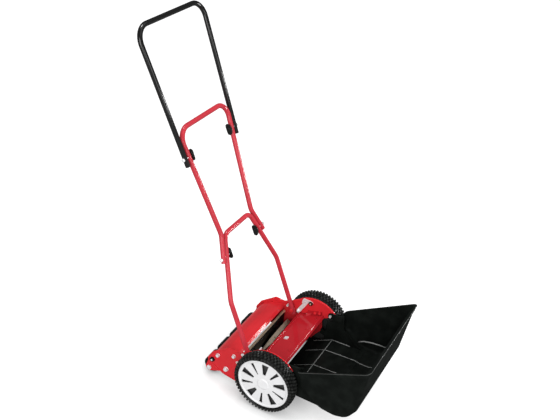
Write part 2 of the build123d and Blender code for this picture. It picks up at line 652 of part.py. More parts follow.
def plate_bolt(side, centre, radius, inside, head=LOW_HEAD, across=NUT_SIZE):
    """Bolt through a side plate: head outside, shank inward and a nut against what it clamps."""
    rod(side * (inside - NUT_HEIGHT - 1), side * PLATE_OUT, centre, radius)
    rod(side * PLATE_OUT, side * (PLATE_OUT + LOW_HEAD), centre, radius + 2.5)
    if head > LOW_HEAD:
        hexagon(side * PLATE_OUT, side * (PLATE_OUT + head), centre, across)
    hexagon(side * (inside - NUT_HEIGHT), side * inside, centre, across)


with BuildPart() as bed_bar_bolts:
    for side, hand in SIDES:
        plate_bolt(side, BED_BOLT, BOLT_RADIUS, PLATE_HALF_GAP - FIT_GAP - BED_BAR_THICKNESS)
finish(bed_bar_bolts.part, "bed_bar_bolts")

# Rear cover: a bent sheet with a flange at each plate, its rear corners notched clear of the roller brackets
FLANGE_OUT = PLATE_HALF_GAP
FLANGE_IN = FLANGE_OUT - SHEET
COVER_NOTCH_IN = BRACKET_IN - 5

with BuildPart() as rear_cover:
    with BuildSketch(chassis(-FLANGE_OUT)):
        with BuildLine():
            FilletPolyline(*COVER_LINE, radius=COVER_RADII)
        trace(line_width=SHEET)
    extrude(amount=2 * FLANGE_OUT)
    for side, hand in SIDES:
        with BuildSketch(chassis(inner_end(side, FLANGE_IN, FLANGE_OUT))):
            with BuildLine():
                Polyline(*COVER_FLANGE, close=True)
            make_face()
        extrude(amount=SHEET)
        for bolt in COVER_BOLTS:
            rod(side * FLANGE_IN, side * FLANGE_OUT, bolt, BOLT_RADIUS, Mode.SUBTRACT)
        with Locations((side * FLANGE_OUT, COVER_NOTCH_Y - 20, AXLE_Z + COVER_LINE[4][1])):
            Box(2 * (FLANGE_OUT - COVER_NOTCH_IN), 40, 60, mode=Mode.SUBTRACT)
finish(rear_cover.part, "rear_cover")

with BuildPart() as cover_bolts:
    for side, hand in SIDES:
        for bolt in COVER_BOLTS:
            plate_bolt(side, bolt, BOLT_RADIUS, FLANGE_IN, HEAD_HEIGHT)
finish(cover_bolts.part, "cover_bolts")

# Front deflector: a sheet that rises to a turned-down front lip, notched clear of the adjuster brackets
STRAP_IN = PLATE_HALF_GAP - STRAP_THICKNESS
NOTCH_IN = STRAP_IN - 1.5
DEFLECTOR_SLOPE = math.degrees(math.atan2(
    DEFLECTOR_LINE[2][1] - DEFLECTOR_LINE[1][1], DEFLECTOR_LINE[2][0] - DEFLECTOR_LINE[1][0]))
CENTRE_BOLT_RUN = CENTRE_BOLT_Y - DEFLECTOR_LINE[1][0]
CENTRE_BOLT_H = DEFLECTOR_LINE[1][1] + CENTRE_BOLT_RUN * math.tan(math.radians(DEFLECTOR_SLOPE))
CENTRE_BOLT_PLANE = Plane(
    origin=(0, CENTRE_BOLT_Y, AXLE_Z + CENTRE_BOLT_H),
    x_dir=(1, 0, 0),
    z_dir=(0, -math.sin(math.radians(DEFLECTOR_SLOPE)), math.cos(math.radians(DEFLECTOR_SLOPE))),
)


def gusset_plane(side):
    """Plane of the triangular crease that braces the end flange, and its three corners in that plane."""
    slope = math.tan(math.radians(DEFLECTOR_SLOPE))
    rear_z = AXLE_Z + DEFLECTOR_LINE[1][1] + (GUSSET_REAR - DEFLECTOR_LINE[1][0]) * slope
    front_z = AXLE_Z + DEFLECTOR_LINE[1][1] + (GUSSET_FRONT - DEFLECTOR_LINE[1][0]) * slope
    flange_x = side * (FLANGE_OUT - SHEET / 2)
    top = Vector(flange_x, GUSSET_REAR, rear_z + GUSSET_RISE)
    foot = Vector(side * (FLANGE_OUT - GUSSET_REACH), GUSSET_REAR, rear_z)
    front = Vector(flange_x, GUSSET_FRONT, front_z)
    normal = (foot - top).cross(front - top).normalized()
    upward = normal if normal.Z > 0 else -normal
    plane = Plane(origin=top, x_dir=(foot - top).normalized(), z_dir=upward)
    corners = [plane.to_local_coords(point) for point in (top, foot, front)]
    return plane, [(corner.X, corner.Y) for corner in corners]


with BuildPart() as front_deflector:
    with BuildSketch(chassis(-FLANGE_OUT)):
        with BuildLine():
            FilletPolyline(*DEFLECTOR_LINE, radius=DEFLECTOR_RADII)
        trace(line_width=SHEET)
    extrude(amount=2 * FLANGE_OUT)
    for side, hand in SIDES:
        with BuildSketch(chassis(inner_end(side, FLANGE_IN, FLANGE_OUT))):
            with BuildLine():
                Polyline(*DEFLECTOR_FLANGE, close=True)
            make_face()
        extrude(amount=SHEET)
        for bolt in DEFLECTOR_BOLTS:
            rod(side * FLANGE_IN, side * FLANGE_OUT, bolt, BOLT_RADIUS, Mode.SUBTRACT)
        crease, corners = gusset_plane(side)
        with BuildSketch(crease):
            with BuildLine():
                Polyline(*corners, close=True)
            make_face()
        extrude(amount=-SHEET)
        notch_x = side * (NOTCH_IN + FLANGE_OUT) / 2
        notch_y = DEFLECTOR_LINE[0][0] + DEFLECTOR_NOTCH / 2 - 3
        with Locations((notch_x, notch_y, AXLE_Z + DEFLECTOR_LINE[1][1])):
            Box(FLANGE_OUT - NOTCH_IN, DEFLECTOR_NOTCH, 40, mode=Mode.SUBTRACT)
    with Locations(CENTRE_BOLT_PLANE):
        Cylinder(BOLT_RADIUS, 3 * SHEET, mode=Mode.SUBTRACT)
finish(front_deflector.part, "front_deflector")

with BuildPart() as deflector_bolts:
    for side, hand in SIDES:
        for bolt in DEFLECTOR_BOLTS:
            plate_bolt(side, bolt, BOLT_RADIUS, FLANGE_IN)
finish(deflector_bolts.part, "deflector_bolts")

with BuildPart() as deflector_centre_bolt:
    with BuildSketch(CENTRE_BOLT_PLANE.offset(SHEET / 2)):
        Rectangle(CENTRE_BOLT_SIZE, CENTRE_BOLT_SIZE)
    extrude(amount=3)
    with BuildSketch(CENTRE_BOLT_PLANE.offset(-SHEET / 2 - 2)):
        Circle(BOLT_RADIUS)
    extrude(amount=SHEET + 2)
    with BuildSketch(CENTRE_BOLT_PLANE.offset(-SHEET / 2 - 2)):
        Circle(BOLT_RADIUS + 1.5)
    extrude(amount=2)
finish(deflector_centre_bolt.part, "deflector_centre_bolt")

# Tie rod between the plates, shouldered against them, with a nut at each end
with BuildPart() as tie_rod:
    rod(-PLATE_HALF_GAP, PLATE_HALF_GAP, TIE_ROD, TIE_ROD_RADIUS)
    rod(-PLATE_OUT - NUT_HEIGHT, PLATE_OUT + NUT_HEIGHT, TIE_ROD, BOLT_RADIUS)
finish(tie_rod.part, "tie_rod")

with BuildPart() as tie_rod_nuts:
    for side, hand in SIDES:
        hexagon(side * PLATE_OUT, side * (PLATE_OUT + NUT_HEIGHT - 1), TIE_ROD, NUT_SIZE)
    rod(-PLATE_OUT - NUT_HEIGHT, PLATE_OUT + NUT_HEIGHT, TIE_ROD, BOLT_RADIUS, Mode.SUBTRACT)
finish(tie_rod_nuts.part, "tie_rod_nuts")

# Adjuster brackets: a zinc strap on the inside of each plate, with an arm and a turned-in ear
for side, hand in SIDES:
    with BuildPart() as adjuster_bracket:
        with BuildSketch(chassis(inner_end(side, STRAP_IN, PLATE_HALF_GAP))):
            with Locations(STRAP_ELBOW, STRAP_FOOT):
                Circle(STRAP_WIDTH / 2)
            make_hull()
            with Locations(STRAP_TOP):
                Circle(STRAP_WIDTH / 2)
            with Locations((STRAP_TOP[0] - STRAP_ARM / 2, STRAP_TOP[1] + 1)):
                Rectangle(STRAP_ARM, STRAP_EAR + 2)
        extrude(amount=STRAP_THICKNESS)
        ear_middle = STRAP_IN - STRAP_EAR / 2
        ear_y = STRAP_TOP[0] - STRAP_ARM + STRAP_THICKNESS / 2
        with Locations((side * ear_middle, ear_y, AXLE_Z + STRAP_TOP[1] + 1)):
            Box(STRAP_EAR, STRAP_THICKNESS, STRAP_EAR + 2)
        for bolt in (STRAP_TOP, STRAP_FOOT):
            rod(side * STRAP_IN, side * PLATE_HALF_GAP, bolt, BOLT_RADIUS, Mode.SUBTRACT)
    finish(adjuster_bracket.part, f"{hand}_adjuster_bracket")

with BuildPart() as adjuster_bolts:
    for side, hand in SIDES:
        plate_bolt(side, STRAP_TOP, BOLT_RADIUS, STRAP_IN, LOW_HEAD, 14)
        plate_bolt(side, STRAP_FOOT, BOLT_RADIUS, STRAP_IN)
finish(adjuster_bolts.part, "adjuster_bolts")

# Rear roller in its two swinging brackets
SWING_RADIUS = math.dist(BRACKET_PIVOT, BRACKET_CLAMP)
SWING_MIDDLE = math.degrees(math.atan2(
    BRACKET_CLAMP[1] - BRACKET_PIVOT[1], BRACKET_CLAMP[0] - BRACKET_PIVOT[0])) % 360
SLOT_HALF = BRACKET_SWING + 1.0

for side, hand in SIDES:
    with BuildPart() as roller_bracket:
        with BuildSketch(chassis(inner_end(side, BRACKET_IN, BRACKET_OUT))):
            with Locations(BRACKET_PIVOT):
                Circle(BRACKET_PIVOT_LOBE)
            with Locations(BRACKET_CLAMP):
                Circle(BRACKET_CLAMP_LOBE)
            with Locations(ROLLER_AXIS):
                Circle(BRACKET_LOBE)
            make_hull()
            with BuildLine(mode=Mode.PRIVATE) as swing:
                CenterArc(BRACKET_PIVOT, SWING_RADIUS, SWING_MIDDLE - SLOT_HALF, 2 * SLOT_HALF)
            SlotArc(swing.edges()[0], 2 * (BOLT_RADIUS + FIT_GAP), mode=Mode.SUBTRACT)
            with Locations(BRACKET_PIVOT):
                Circle(LARGE_BOLT_RADIUS + RUNNING_GAP, mode=Mode.SUBTRACT)
            with Locations(ROLLER_AXIS):
                Circle(ROLLER_AXLE_RADIUS, mode=Mode.SUBTRACT)
        extrude(amount=BRACKET_THICKNESS)
    finish(roller_bracket.part, f"{hand}_roller_bracket")

with BuildPart() as roller_axle:
    rod(-BRACKET_OUT - NUT_HEIGHT, BRACKET_OUT + NUT_HEIGHT, ROLLER_AXIS, ROLLER_AXLE_RADIUS)
finish(roller_axle.part, "roller_axle")

with BuildPart() as roller_axle_nuts:
    for side, hand in SIDES:
        hexagon(side * BRACKET_OUT, side * (BRACKET_OUT + NUT_HEIGHT - 1), ROLLER_AXIS, 15)
        rod(side * (ROLLER_HALF + 0.5), side * BRACKET_IN, ROLLER_AXIS, ROLLER_AXLE_RADIUS + 3)
    rod(-BRACKET_OUT - NUT_HEIGHT, BRACKET_OUT + NUT_HEIGHT, ROLLER_AXIS, ROLLER_AXLE_RADIUS, Mode.SUBTRACT)
finish(roller_axle_nuts.part, "roller_axle_nuts")

SEGMENT_WIDTH = (2 * ROLLER_HALF - (ROLLER_SEGMENTS - 1) * ROLLER_GROOVE) / ROLLER_SEGMENTS
ROLLER_LINE = Axis((0, ROLLER_AXIS[0], AXLE_Z + ROLLER_AXIS[1]), (1, 0, 0))
ROLLER_SECTION = Plane(
    origin=(0, ROLLER_AXIS[0], AXLE_Z + ROLLER_AXIS[1]), x_dir=(1, 0, 0), z_dir=(0, -1, 0))
CORE_RADIUS = ROLLER_RADIUS * 0.55

with BuildPart() as roller:
    with BuildSketch(ROLLER_SECTION):
        with Locations((0, (CORE_RADIUS + ROLLER_AXLE_RADIUS + RUNNING_GAP) / 2)):
            Rectangle(2 * ROLLER_HALF, CORE_RADIUS - ROLLER_AXLE_RADIUS - RUNNING_GAP)
        for segment in range(ROLLER_SEGMENTS):
            start = -ROLLER_HALF + segment * (SEGMENT_WIDTH + ROLLER_GROOVE)
            end = start + SEGMENT_WIDTH
            with BuildLine():
                Polyline(
                    (start, CORE_RADIUS - 1), (start, ROLLER_RADIUS - ROLLER_EDGE),
                    (start + ROLLER_EDGE, ROLLER_RADIUS), (end - ROLLER_EDGE, ROLLER_RADIUS),
                    (end, ROLLER_RADIUS - ROLLER_EDGE), (end, CORE_RADIUS - 1), close=True,
                )
            make_face()
    revolve(axis=ROLLER_LINE)
finish(roller.part, "roller")

with BuildPart() as roller_pivot_bolts:
    for side, hand in SIDES:
        plate_bolt(side, BRACKET_PIVOT, LARGE_BOLT_RADIUS, BRACKET_IN - FIT_GAP, HEAD_HEIGHT, 13)
finish(roller_pivot_bolts.part, "roller_pivot_bolts")

with BuildPart() as height_clamp_bolts:
    for side, hand in SIDES:
        clamp_face = BRACKET_IN - FIT_GAP
        rod(side * (clamp_face - 3), side * (PLATE_OUT + NUT_HEIGHT + 2), BRACKET_CLAMP, BOLT_RADIUS)
        rod(side * (clamp_face - 3), side * clamp_face, BRACKET_CLAMP, BOLT_RADIUS + 4)
finish(height_clamp_bolts.part, "height_clamp_bolts")

with BuildPart() as height_clamp_nuts:
    for side, hand in SIDES:
        hexagon(side * PLATE_OUT, side * (PLATE_OUT + NUT_HEIGHT), BRACKET_CLAMP, CLAMP_NUT_SIZE)
    rod(-PLATE_OUT - NUT_HEIGHT, PLATE_OUT + NUT_HEIGHT, BRACKET_CLAMP, BOLT_RADIUS, Mode.SUBTRACT)
finish(height_clamp_nuts.part, "height_clamp_nuts")

# Handle tubes: three bent frames in one leaning plane
LOWER_LAP = (2 * TUBE_RADIUS + LOWER_LAP_GAP) * math.hypot(1, LOWER_SLOPE)
UPPER_LAP = (2 * TUBE_RADIUS + UPPER_LAP_GAP) * math.hypot(1, UPPER_SLOPE)


def lower_half(rise):
    """Half width of the lower handle's splayed leg."""
    return LEG_HALF - LOWER_SLOPE * (rise - LEG_BEND)


def middle_half(rise):
    """Half width of the middle handle's leg above its kink."""
    return MIDDLE_TOP_HALF - UPPER_SLOPE * (MIDDLE_TOP - rise)


def upper_half(rise):
    """Half width of the upper handle's leg above its jog."""
    return UPPER_TOP_HALF - UPPER_TAPER * (UPPER_TOP - rise)


KINK_RISE = (
    LEG_HALF + LOWER_SLOPE * LEG_BEND + LOWER_LAP - MIDDLE_TOP_HALF + UPPER_SLOPE * MIDDLE_TOP
) / (LOWER_SLOPE + UPPER_SLOPE)
LOWER_PATH = [(LEG_HALF, LEG_END), (LEG_HALF, LEG_BEND), (lower_half(LOWER_TOP), LOWER_TOP)]
MIDDLE_PATH = [
    (lower_half(MIDDLE_END) + LOWER_LAP, MIDDLE_END),
    (middle_half(KINK_RISE), KINK_RISE),
    (MIDDLE_TOP_HALF, MIDDLE_TOP),
]
UPPER_PATH = [
    (middle_half(UPPER_END) + UPPER_LAP, UPPER_END),
    (middle_half(UPPER_JOG[0]) + UPPER_LAP, UPPER_JOG[0]),
    (upper_half(UPPER_JOG[1]), UPPER_JOG[1]),
    (UPPER_TOP_HALF, UPPER_TOP),
]


def mirrored(path):
    """A path up one leg and down the other."""
    return path + [(-x, rise) for x, rise in reversed(path)]


with BuildPart() as lower_handle:
    with BuildLine(HANDLE) as lower_line:
        FilletPolyline(*mirrored(LOWER_PATH), radius=LOWER_RADII)
    with BuildSketch(Plane(origin=lower_line.line @ 0, z_dir=lower_line.line % 0)):
        Circle(TUBE_RADIUS)
        Circle(TUBE_RADIUS - TUBE_WALL, mode=Mode.SUBTRACT)
    sweep()
    for side, hand in SIDES:
        leg_x = side * LEG_HALF
        rod(leg_x - 20, leg_x + 20, HANDLE_PIVOT, LARGE_BOLT_RADIUS + RUNNING_GAP, Mode.SUBTRACT)
        bolt_x = side * lower_half(LOWER_BOLT)
        rod(bolt_x - 20, bolt_x + 20, LOWER_BOLT_AXIS, BOLT_RADIUS, Mode.SUBTRACT)
finish(lower_handle.part, "lower_handle")

with BuildPart() as middle_handle:
    with BuildLine(HANDLE) as middle_line:
        FilletPolyline(
            *mirrored(MIDDLE_PATH), radius=[KINK_RADIUS, MIDDLE_CORNER, MIDDLE_CORNER, KINK_RADIUS])
    with BuildSketch(Plane(origin=middle_line.line @ 0, z_dir=middle_line.line % 0)):
        Circle(TUBE_RADIUS)
        Circle(TUBE_RADIUS - TUBE_WALL, mode=Mode.SUBTRACT)
    sweep()
    for side, hand in SIDES:
        bolt_x = side * (lower_half(LOWER_BOLT) + LOWER_LAP)
        rod(bolt_x - 20, bolt_x + 20, LOWER_BOLT_AXIS, BOLT_RADIUS + RUNNING_GAP, Mode.SUBTRACT)
        bolt_x = side * middle_half(UPPER_BOLT)
        rod(bolt_x - 20, bolt_x + 20, UPPER_BOLT_AXIS, BOLT_RADIUS, Mode.SUBTRACT)
finish(middle_handle.part, "middle_handle")

with BuildPart() as upper_handle:
    with BuildLine(HANDLE) as upper_line:
        FilletPolyline(
            *mirrored(UPPER_PATH),
            radius=[JOG_RADIUS, JOG_RADIUS, UPPER_CORNER, UPPER_CORNER, JOG_RADIUS, JOG_RADIUS])
    with BuildSketch(Plane(origin=upper_line.line @ 0, z_dir=upper_line.line % 0)):
        Circle(TUBE_RADIUS)
        Circle(TUBE_RADIUS - TUBE_WALL, mode=Mode.SUBTRACT)
    sweep()
    for side, hand in SIDES:
        bolt_x = side * (middle_half(UPPER_BOLT) + UPPER_LAP)
        rod(bolt_x - 20, bolt_x + 20, UPPER_BOLT_AXIS, BOLT_RADIUS + RUNNING_GAP, Mode.SUBTRACT)
finish(upper_handle.part, "upper_handle")

# Clamp bolts across the tube laps, with a domed head outside and a lobed knob inside
def lap_stations(inner_half, outer_half, slope):
    """Where the knob and the head stand, clear of the slanting tubes."""
    reach = TUBE_RADIUS * math.hypot(1, slope)
    knob_face = inner_half - reach - slope * KNOB_RADIUS - FIT_GAP
    head_face = outer_half + reach + slope * HEAD_RADIUS + FIT_GAP
    return knob_face, head_face


LAPS = {
    "lower": (LOWER_BOLT_AXIS, lap_stations(
        lower_half(LOWER_BOLT), lower_half(LOWER_BOLT) + LOWER_LAP, LOWER_SLOPE)),
    "upper": (UPPER_BOLT_AXIS, lap_stations(
        middle_half(UPPER_BOLT), middle_half(UPPER_BOLT) + UPPER_LAP, UPPER_SLOPE)),
}

for lap, (axis, (knob_face, head_face)) in LAPS.items():
    with BuildPart() as clamp_bolts:
        for side, hand in SIDES:
            rod(side * (knob_face - KNOB_LENGTH + 2), side * (head_face + 1), axis, BOLT_RADIUS)
            rod(side * head_face, side * (head_face + HEAD_HEIGHT), axis, HEAD_RADIUS)
    finish(clamp_bolts.part, f"{lap}_clamp_bolts")
    for side, hand in SIDES:
        with BuildPart() as clamp_knob:
            with BuildSketch(chassis(inner_end(side, knob_face - KNOB_LENGTH, knob_face))):
                with Locations(axis):
                    Circle(KNOB_RADIUS)
                    with PolarLocations(KNOB_RADIUS + KNOB_GRIP / 2, KNOB_LOBES):
                        Circle(KNOB_GRIP, mode=Mode.SUBTRACT)
                    Circle(BOLT_RADIUS + RUNNING_GAP, mode=Mode.SUBTRACT)
            extrude(amount=KNOB_LENGTH)
        finish(clamp_knob.part, f"{hand}_{lap}_knob")

# Handle pivot bolts and stop pins
with BuildPart() as handle_pivot_bolts:
    for side, hand in SIDES:
        plate_bolt(side, HANDLE_PIVOT, LARGE_BOLT_RADIUS, LEG_HALF - TUBE_RADIUS - LEG_GAP, LOW_HEAD, 13)
finish(handle_pivot_bolts.part, "handle_pivot_bolts")

with BuildPart() as handle_stop_pins:
    for side, hand in SIDES:
        rod(side * (LEG_HALF - TUBE_RADIUS), side * PLATE_OUT, STOP_PIN, STOP_RADIUS)
        rod(side * PLATE_OUT, side * (PLATE_OUT + LOW_HEAD), STOP_PIN, STOP_RADIUS + 2)
finish(handle_stop_pins.part, "handle_stop_pins")

# Catcher pegs, riveted to the plates
with BuildPart() as catcher_pegs:
    for side, hand in SIDES:
        rod(side * (PLATE_HALF_GAP - PEG_LENGTH), side * PLATE_OUT, PEG, PEG_RADIUS)
        rod(side * PLATE_OUT, side * (PLATE_OUT + LOW_HEAD), PEG, PEG_RADIUS + 2)
finish(catcher_pegs.part, "catcher_pegs")

# Grass catcher: a drafted tub with a banded rim, open to the reel, hung on the pegs and leaning on the plates
RIM_LENGTH = math.dist(CATCHER_REAR_TOP, CATCHER_FRONT_TOP)
RIM_NORMAL = (
    (CATCHER_REAR_TOP[1] - CATCHER_FRONT_TOP[1]) / RIM_LENGTH,
    (CATCHER_FRONT_TOP[0] - CATCHER_REAR_TOP[0]) / RIM_LENGTH,
)
TUB_REACH = PLATE_HALF_GAP + CATCHER_FRONT_OVERHANG + 30
FLOOR_POINT = CATCHER_UNDERSIDE[2]


def wall_plane(side, inset):
    """Drafted side wall of the tub, facing outward and moved in by the inset."""
    rear_x = side * (PLATE_HALF_GAP + CATCHER_REAR_OVERHANG)
    front_x = side * (PLATE_HALF_GAP + CATCHER_FRONT_OVERHANG)
    floor_x = side * (PLATE_HALF_GAP + CATCHER_FLOOR_OVERHANG)
    rear = Vector(rear_x, CATCHER_REAR_TOP[0], AXLE_Z + CATCHER_REAR_TOP[1])
    front = Vector(front_x, CATCHER_FRONT_TOP[0], AXLE_Z + CATCHER_FRONT_TOP[1])
    floor = Vector(floor_x, FLOOR_POINT[0], AXLE_Z + FLOOR_POINT[1])
    normal = (front - rear).cross(floor - rear).normalized()
    outward = normal if normal.X * side > 0 else -normal
    return Plane(origin=rear - outward * inset, z_dir=outward)


def tub(inset):
    """The tub's outer form, grown or shrunk by the inset."""
    with BuildPart() as form:
        with BuildSketch(chassis(-TUB_REACH)) as profile:
            with BuildLine():
                FilletPolyline(CATCHER_FRONT_TOP, *CATCHER_UNDERSIDE, CATCHER_REAR_TOP, radius=CATCHER_BENDS)
                Line(CATCHER_REAR_TOP, CATCHER_FRONT_TOP)
            make_face()
            if inset:
                offset(amount=-inset, kind=Kind.INTERSECTION)
        extrude(amount=2 * TUB_REACH)
        for side, hand in SIDES:
            split(bisect_by=wall_plane(side, inset), keep=Keep.BOTTOM)
        for wall in (0, -1):
            outline = form.faces().sort_by(Axis.X)[wall].edges().sort_by(Axis.Z)
            fillet(outline[:-1], CATCHER_EDGE - inset)
    return form.part


def raised(form, height):
    """A copy of a form moved out through the rim."""
    return form.moved(Location((0, RIM_NORMAL[0] * height, RIM_NORMAL[1] * height)))


TUB_INSIDE = tub(WALL)
BAND_PLANE = Plane(
    origin=(
        0,
        CATCHER_REAR_TOP[0] - RIM_NORMAL[0] * RIM_BAND,
        AXLE_Z + CATCHER_REAR_TOP[1] - RIM_NORMAL[1] * RIM_BAND,
    ),
    z_dir=(0, RIM_NORMAL[0], RIM_NORMAL[1]),
)
RIM_PLANE = BAND_PLANE.offset(RIM_BAND)
RAMP_RISE = (CREST[1] - RAMP_END[1]) / (CREST[0] - RAMP_END[0])
CHEEK = [
    (CHEEK_REAR, RAMP_END[1] + (CHEEK_REAR - RAMP_END[0]) * RAMP_RISE - 1), (CHEEK_REAR + 3, PEG[1] - 26),
    (PEG[0] + 10, PEG[1] - 23), (PEG[0] + 12, PEG[1] - 10), spot(91.0, 76.0),
    spot(101.0, 80.0), spot(108.0, 30.0), spot(123.0, 12.0), spot(148.0, -14.0), spot(165.0, -26.0),
    spot(165.0, -34.3), (CREST[0], CREST[1] - WALL),
]
PROP = [
    (PROP_TIP[0] + 0.5, PROP_TIP[1] + PROP_PAD[1] / 2), (CREST[0] + 8, CREST[1] + 20),
    (CREST[0] + 8, CREST[1] - WALL), (PROP_TIP[0] + 0.5, PROP_TIP[1] - PROP_PAD[1] / 2),
]
ARM = [
    spot(98.0, 52.0), spot(96.0, 74.0), (PEG[0], PEG[1] + HOOK_RADIUS), (PEG[0], PEG[1] - HOOK_RADIUS),
    spot(80.0, 50.0),
]

with BuildPart() as rim_band:
    add(tub(-RIM_PROUD))
    split(bisect_by=BAND_PLANE, keep=Keep.TOP)
    split(bisect_by=RIM_PLANE, keep=Keep.BOTTOM)

with BuildPart() as catcher:
    add(tub(0))
    add(rim_band.part)
    add(TUB_INSIDE, mode=Mode.SUBTRACT)
    add(raised(TUB_INSIDE, 2 * WALL), mode=Mode.SUBTRACT)
    mouth_height = CATCHER_FRONT_TOP[1] - CREST[1]
    with Locations((0, (MOUTH_REAR + MOUTH_FRONT) / 2, AXLE_Z + CREST[1] + WALL + mouth_height / 2)):
        Box(2 * THROAT_HALF, MOUTH_FRONT - MOUTH_REAR, mouth_height, mode=Mode.SUBTRACT)
    with BuildSketch(chassis(-THROAT_HALF)):
        with BuildLine():
            Polyline(
                RAMP_END, CREST, (THROAT_FRONT, CREST[1] + THROAT_RISE),
                (THROAT_FRONT, CREST[1] + THROAT_RISE - WALL),
                (CREST[0], CREST[1] - WALL), (RAMP_END[0], RAMP_END[1] - WALL), close=True,
            )
        make_face()
    extrude(amount=2 * THROAT_HALF)
    for side, hand in SIDES:
        with BuildSketch(chassis(inner_end(side, THROAT_HALF - WALL, THROAT_HALF))):
            with BuildLine():
                Polyline(*CHEEK, close=True)
            make_face()
        extrude(amount=WALL)
        with BuildSketch(chassis(inner_end(side, THROAT_HALF - HOOK_WIDTH, THROAT_HALF))):
            with BuildLine():
                Polyline(*ARM, close=True)
            make_face()
            with Locations(PEG):
                Circle(HOOK_RADIUS)
                Circle(PEG_RADIUS + FIT_GAP, mode=Mode.SUBTRACT)
            with Locations((PEG[0], PEG[1] - HOOK_RADIUS)):
                Rectangle(2 * (PEG_RADIUS + FIT_GAP), 2 * HOOK_RADIUS, mode=Mode.SUBTRACT)
        extrude(amount=HOOK_WIDTH)
        with BuildSketch(chassis(inner_end(side, THROAT_HALF - WALL, THROAT_HALF))):
            with BuildLine():
                Polyline(*PROP, close=True)
            make_face()
        extrude(amount=WALL)
        pad_out = PLATE_OUT + PLATE_LIP_HEIGHT
        with BuildSketch(chassis(inner_end(side, THROAT_HALF - WALL, pad_out))):
            with Locations((PROP_TIP[0] + PROP_PAD[0] / 2 + 0.5, PROP_TIP[1])):
                Rectangle(*PROP_PAD)
        extrude(amount=pad_out - THROAT_HALF + WALL)
    for rib in range(FLOOR_RIB_COUNT):
        rib_x = FLOOR_RIB_PITCH * (rib - (FLOOR_RIB_COUNT - 1) / 2)
        with BuildSketch(chassis(rib_x - WALL / 2)):
            with BuildLine():
                Polyline(
                    (RAMP_END[0] + 14, RAMP_END[1] + 14 * RAMP_RISE), (CREST[0], CREST[1] + 2),
                    (THROAT_FRONT - 8, CREST[1] + THROAT_RISE + 2),
                    (THROAT_FRONT - 8, CREST[1] + THROAT_RISE - 2),
                    (CREST[0], CREST[1] - 2), close=True,
                )
            make_face()
        extrude(amount=WALL)
finish(catcher.part, "catcher")
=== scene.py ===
import json
import math

import bmesh
import bpy
from mathutils import Matrix, Quaternion, Vector


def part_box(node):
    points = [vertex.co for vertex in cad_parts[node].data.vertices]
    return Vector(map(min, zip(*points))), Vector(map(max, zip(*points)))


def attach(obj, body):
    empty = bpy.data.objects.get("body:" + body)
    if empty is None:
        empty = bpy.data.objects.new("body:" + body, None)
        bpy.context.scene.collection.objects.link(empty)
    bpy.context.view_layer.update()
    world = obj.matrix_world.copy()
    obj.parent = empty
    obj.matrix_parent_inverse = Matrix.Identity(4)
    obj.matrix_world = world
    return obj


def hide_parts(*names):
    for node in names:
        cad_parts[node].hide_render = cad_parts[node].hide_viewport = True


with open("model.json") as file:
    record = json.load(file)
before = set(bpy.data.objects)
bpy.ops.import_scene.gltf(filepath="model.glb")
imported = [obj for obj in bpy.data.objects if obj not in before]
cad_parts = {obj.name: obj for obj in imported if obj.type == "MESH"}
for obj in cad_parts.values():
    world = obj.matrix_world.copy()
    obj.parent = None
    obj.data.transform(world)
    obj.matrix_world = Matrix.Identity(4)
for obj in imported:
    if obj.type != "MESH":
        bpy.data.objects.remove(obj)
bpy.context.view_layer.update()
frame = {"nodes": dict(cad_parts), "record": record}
nodes = frame["nodes"]

# Camera at the photograph's viewing angle
CAMERA_PLACE = Vector((1.8901, 0.7571, 1.8683))
CAMERA_BACK = Vector((0.7726, 0.3513, 0.5289))
CAMERA_RIGHT = Vector((-0.4701, 0.8764, 0.1045))
CAMERA_LENS = 54.55
CAMERA_SENSOR = 36.0
CAMERA_CLIP = 0.05

# Colours of the finishes
RED = (0.600, 0.021, 0.028)
# Painted shade: a darker copy of the red enamel for the front deflector and its dimples
SHADED_RED = (0.400, 0.012, 0.019)
TUBE_RED = (0.460, 0.032, 0.046)
BLACK_ENAMEL = (0.0030, 0.0030, 0.0030)
RUBBER = (0.0110, 0.0118, 0.0110)
RUBBER_DUST = (0.0400, 0.0420, 0.0400)
# Painted shade: the tyre carcass between the knobs is darker than the knobs
SHADED_CARCASS_BLACK = (0.0030, 0.0032, 0.0030)
MOULDED_BLACK = (0.0050, 0.0053, 0.0050)
CATCHER_BLACK = (0.0055, 0.0066, 0.0058)
# Scuffed grey that is also a painted highlight along the crest and ribs of the catcher
SCUFF_AND_HIGHLIGHT_GREY = (0.1350, 0.1400, 0.1350)
# Painted highlight on the step in each side wall of the catcher
STEP_HIGHLIGHT_GREY = (0.230, 0.236, 0.230)
# Painted highlight along the rim of the catcher
CATCHER_RIM_HIGHLIGHT_GREY = (0.0320, 0.0340, 0.0320)
# Painted light: the outer faces of the wheel rims are lighter grey so that the shaded slots in the cap read
# lighter
RIM_PAINTED_LIGHT_GREY = (0.0600, 0.0600, 0.0590)
WHITE = (0.690, 0.690, 0.694)
ZINC = (0.930, 0.940, 0.950)
DULL_ZINC = (0.80, 0.81, 0.82)
YELLOW_ZINC = (0.720, 0.540, 0.380)
DULL_YELLOW_ZINC = (0.56, 0.40, 0.26)
BLADE = (0.440, 0.365, 0.285)
BLADE_STREAK = (0.30, 0.25, 0.19)

# Distances from the middle of the mower between which the wheel rims go from black to grey, painted light on
# their outer faces
RIM_FADE = (0.1735, 0.1765)


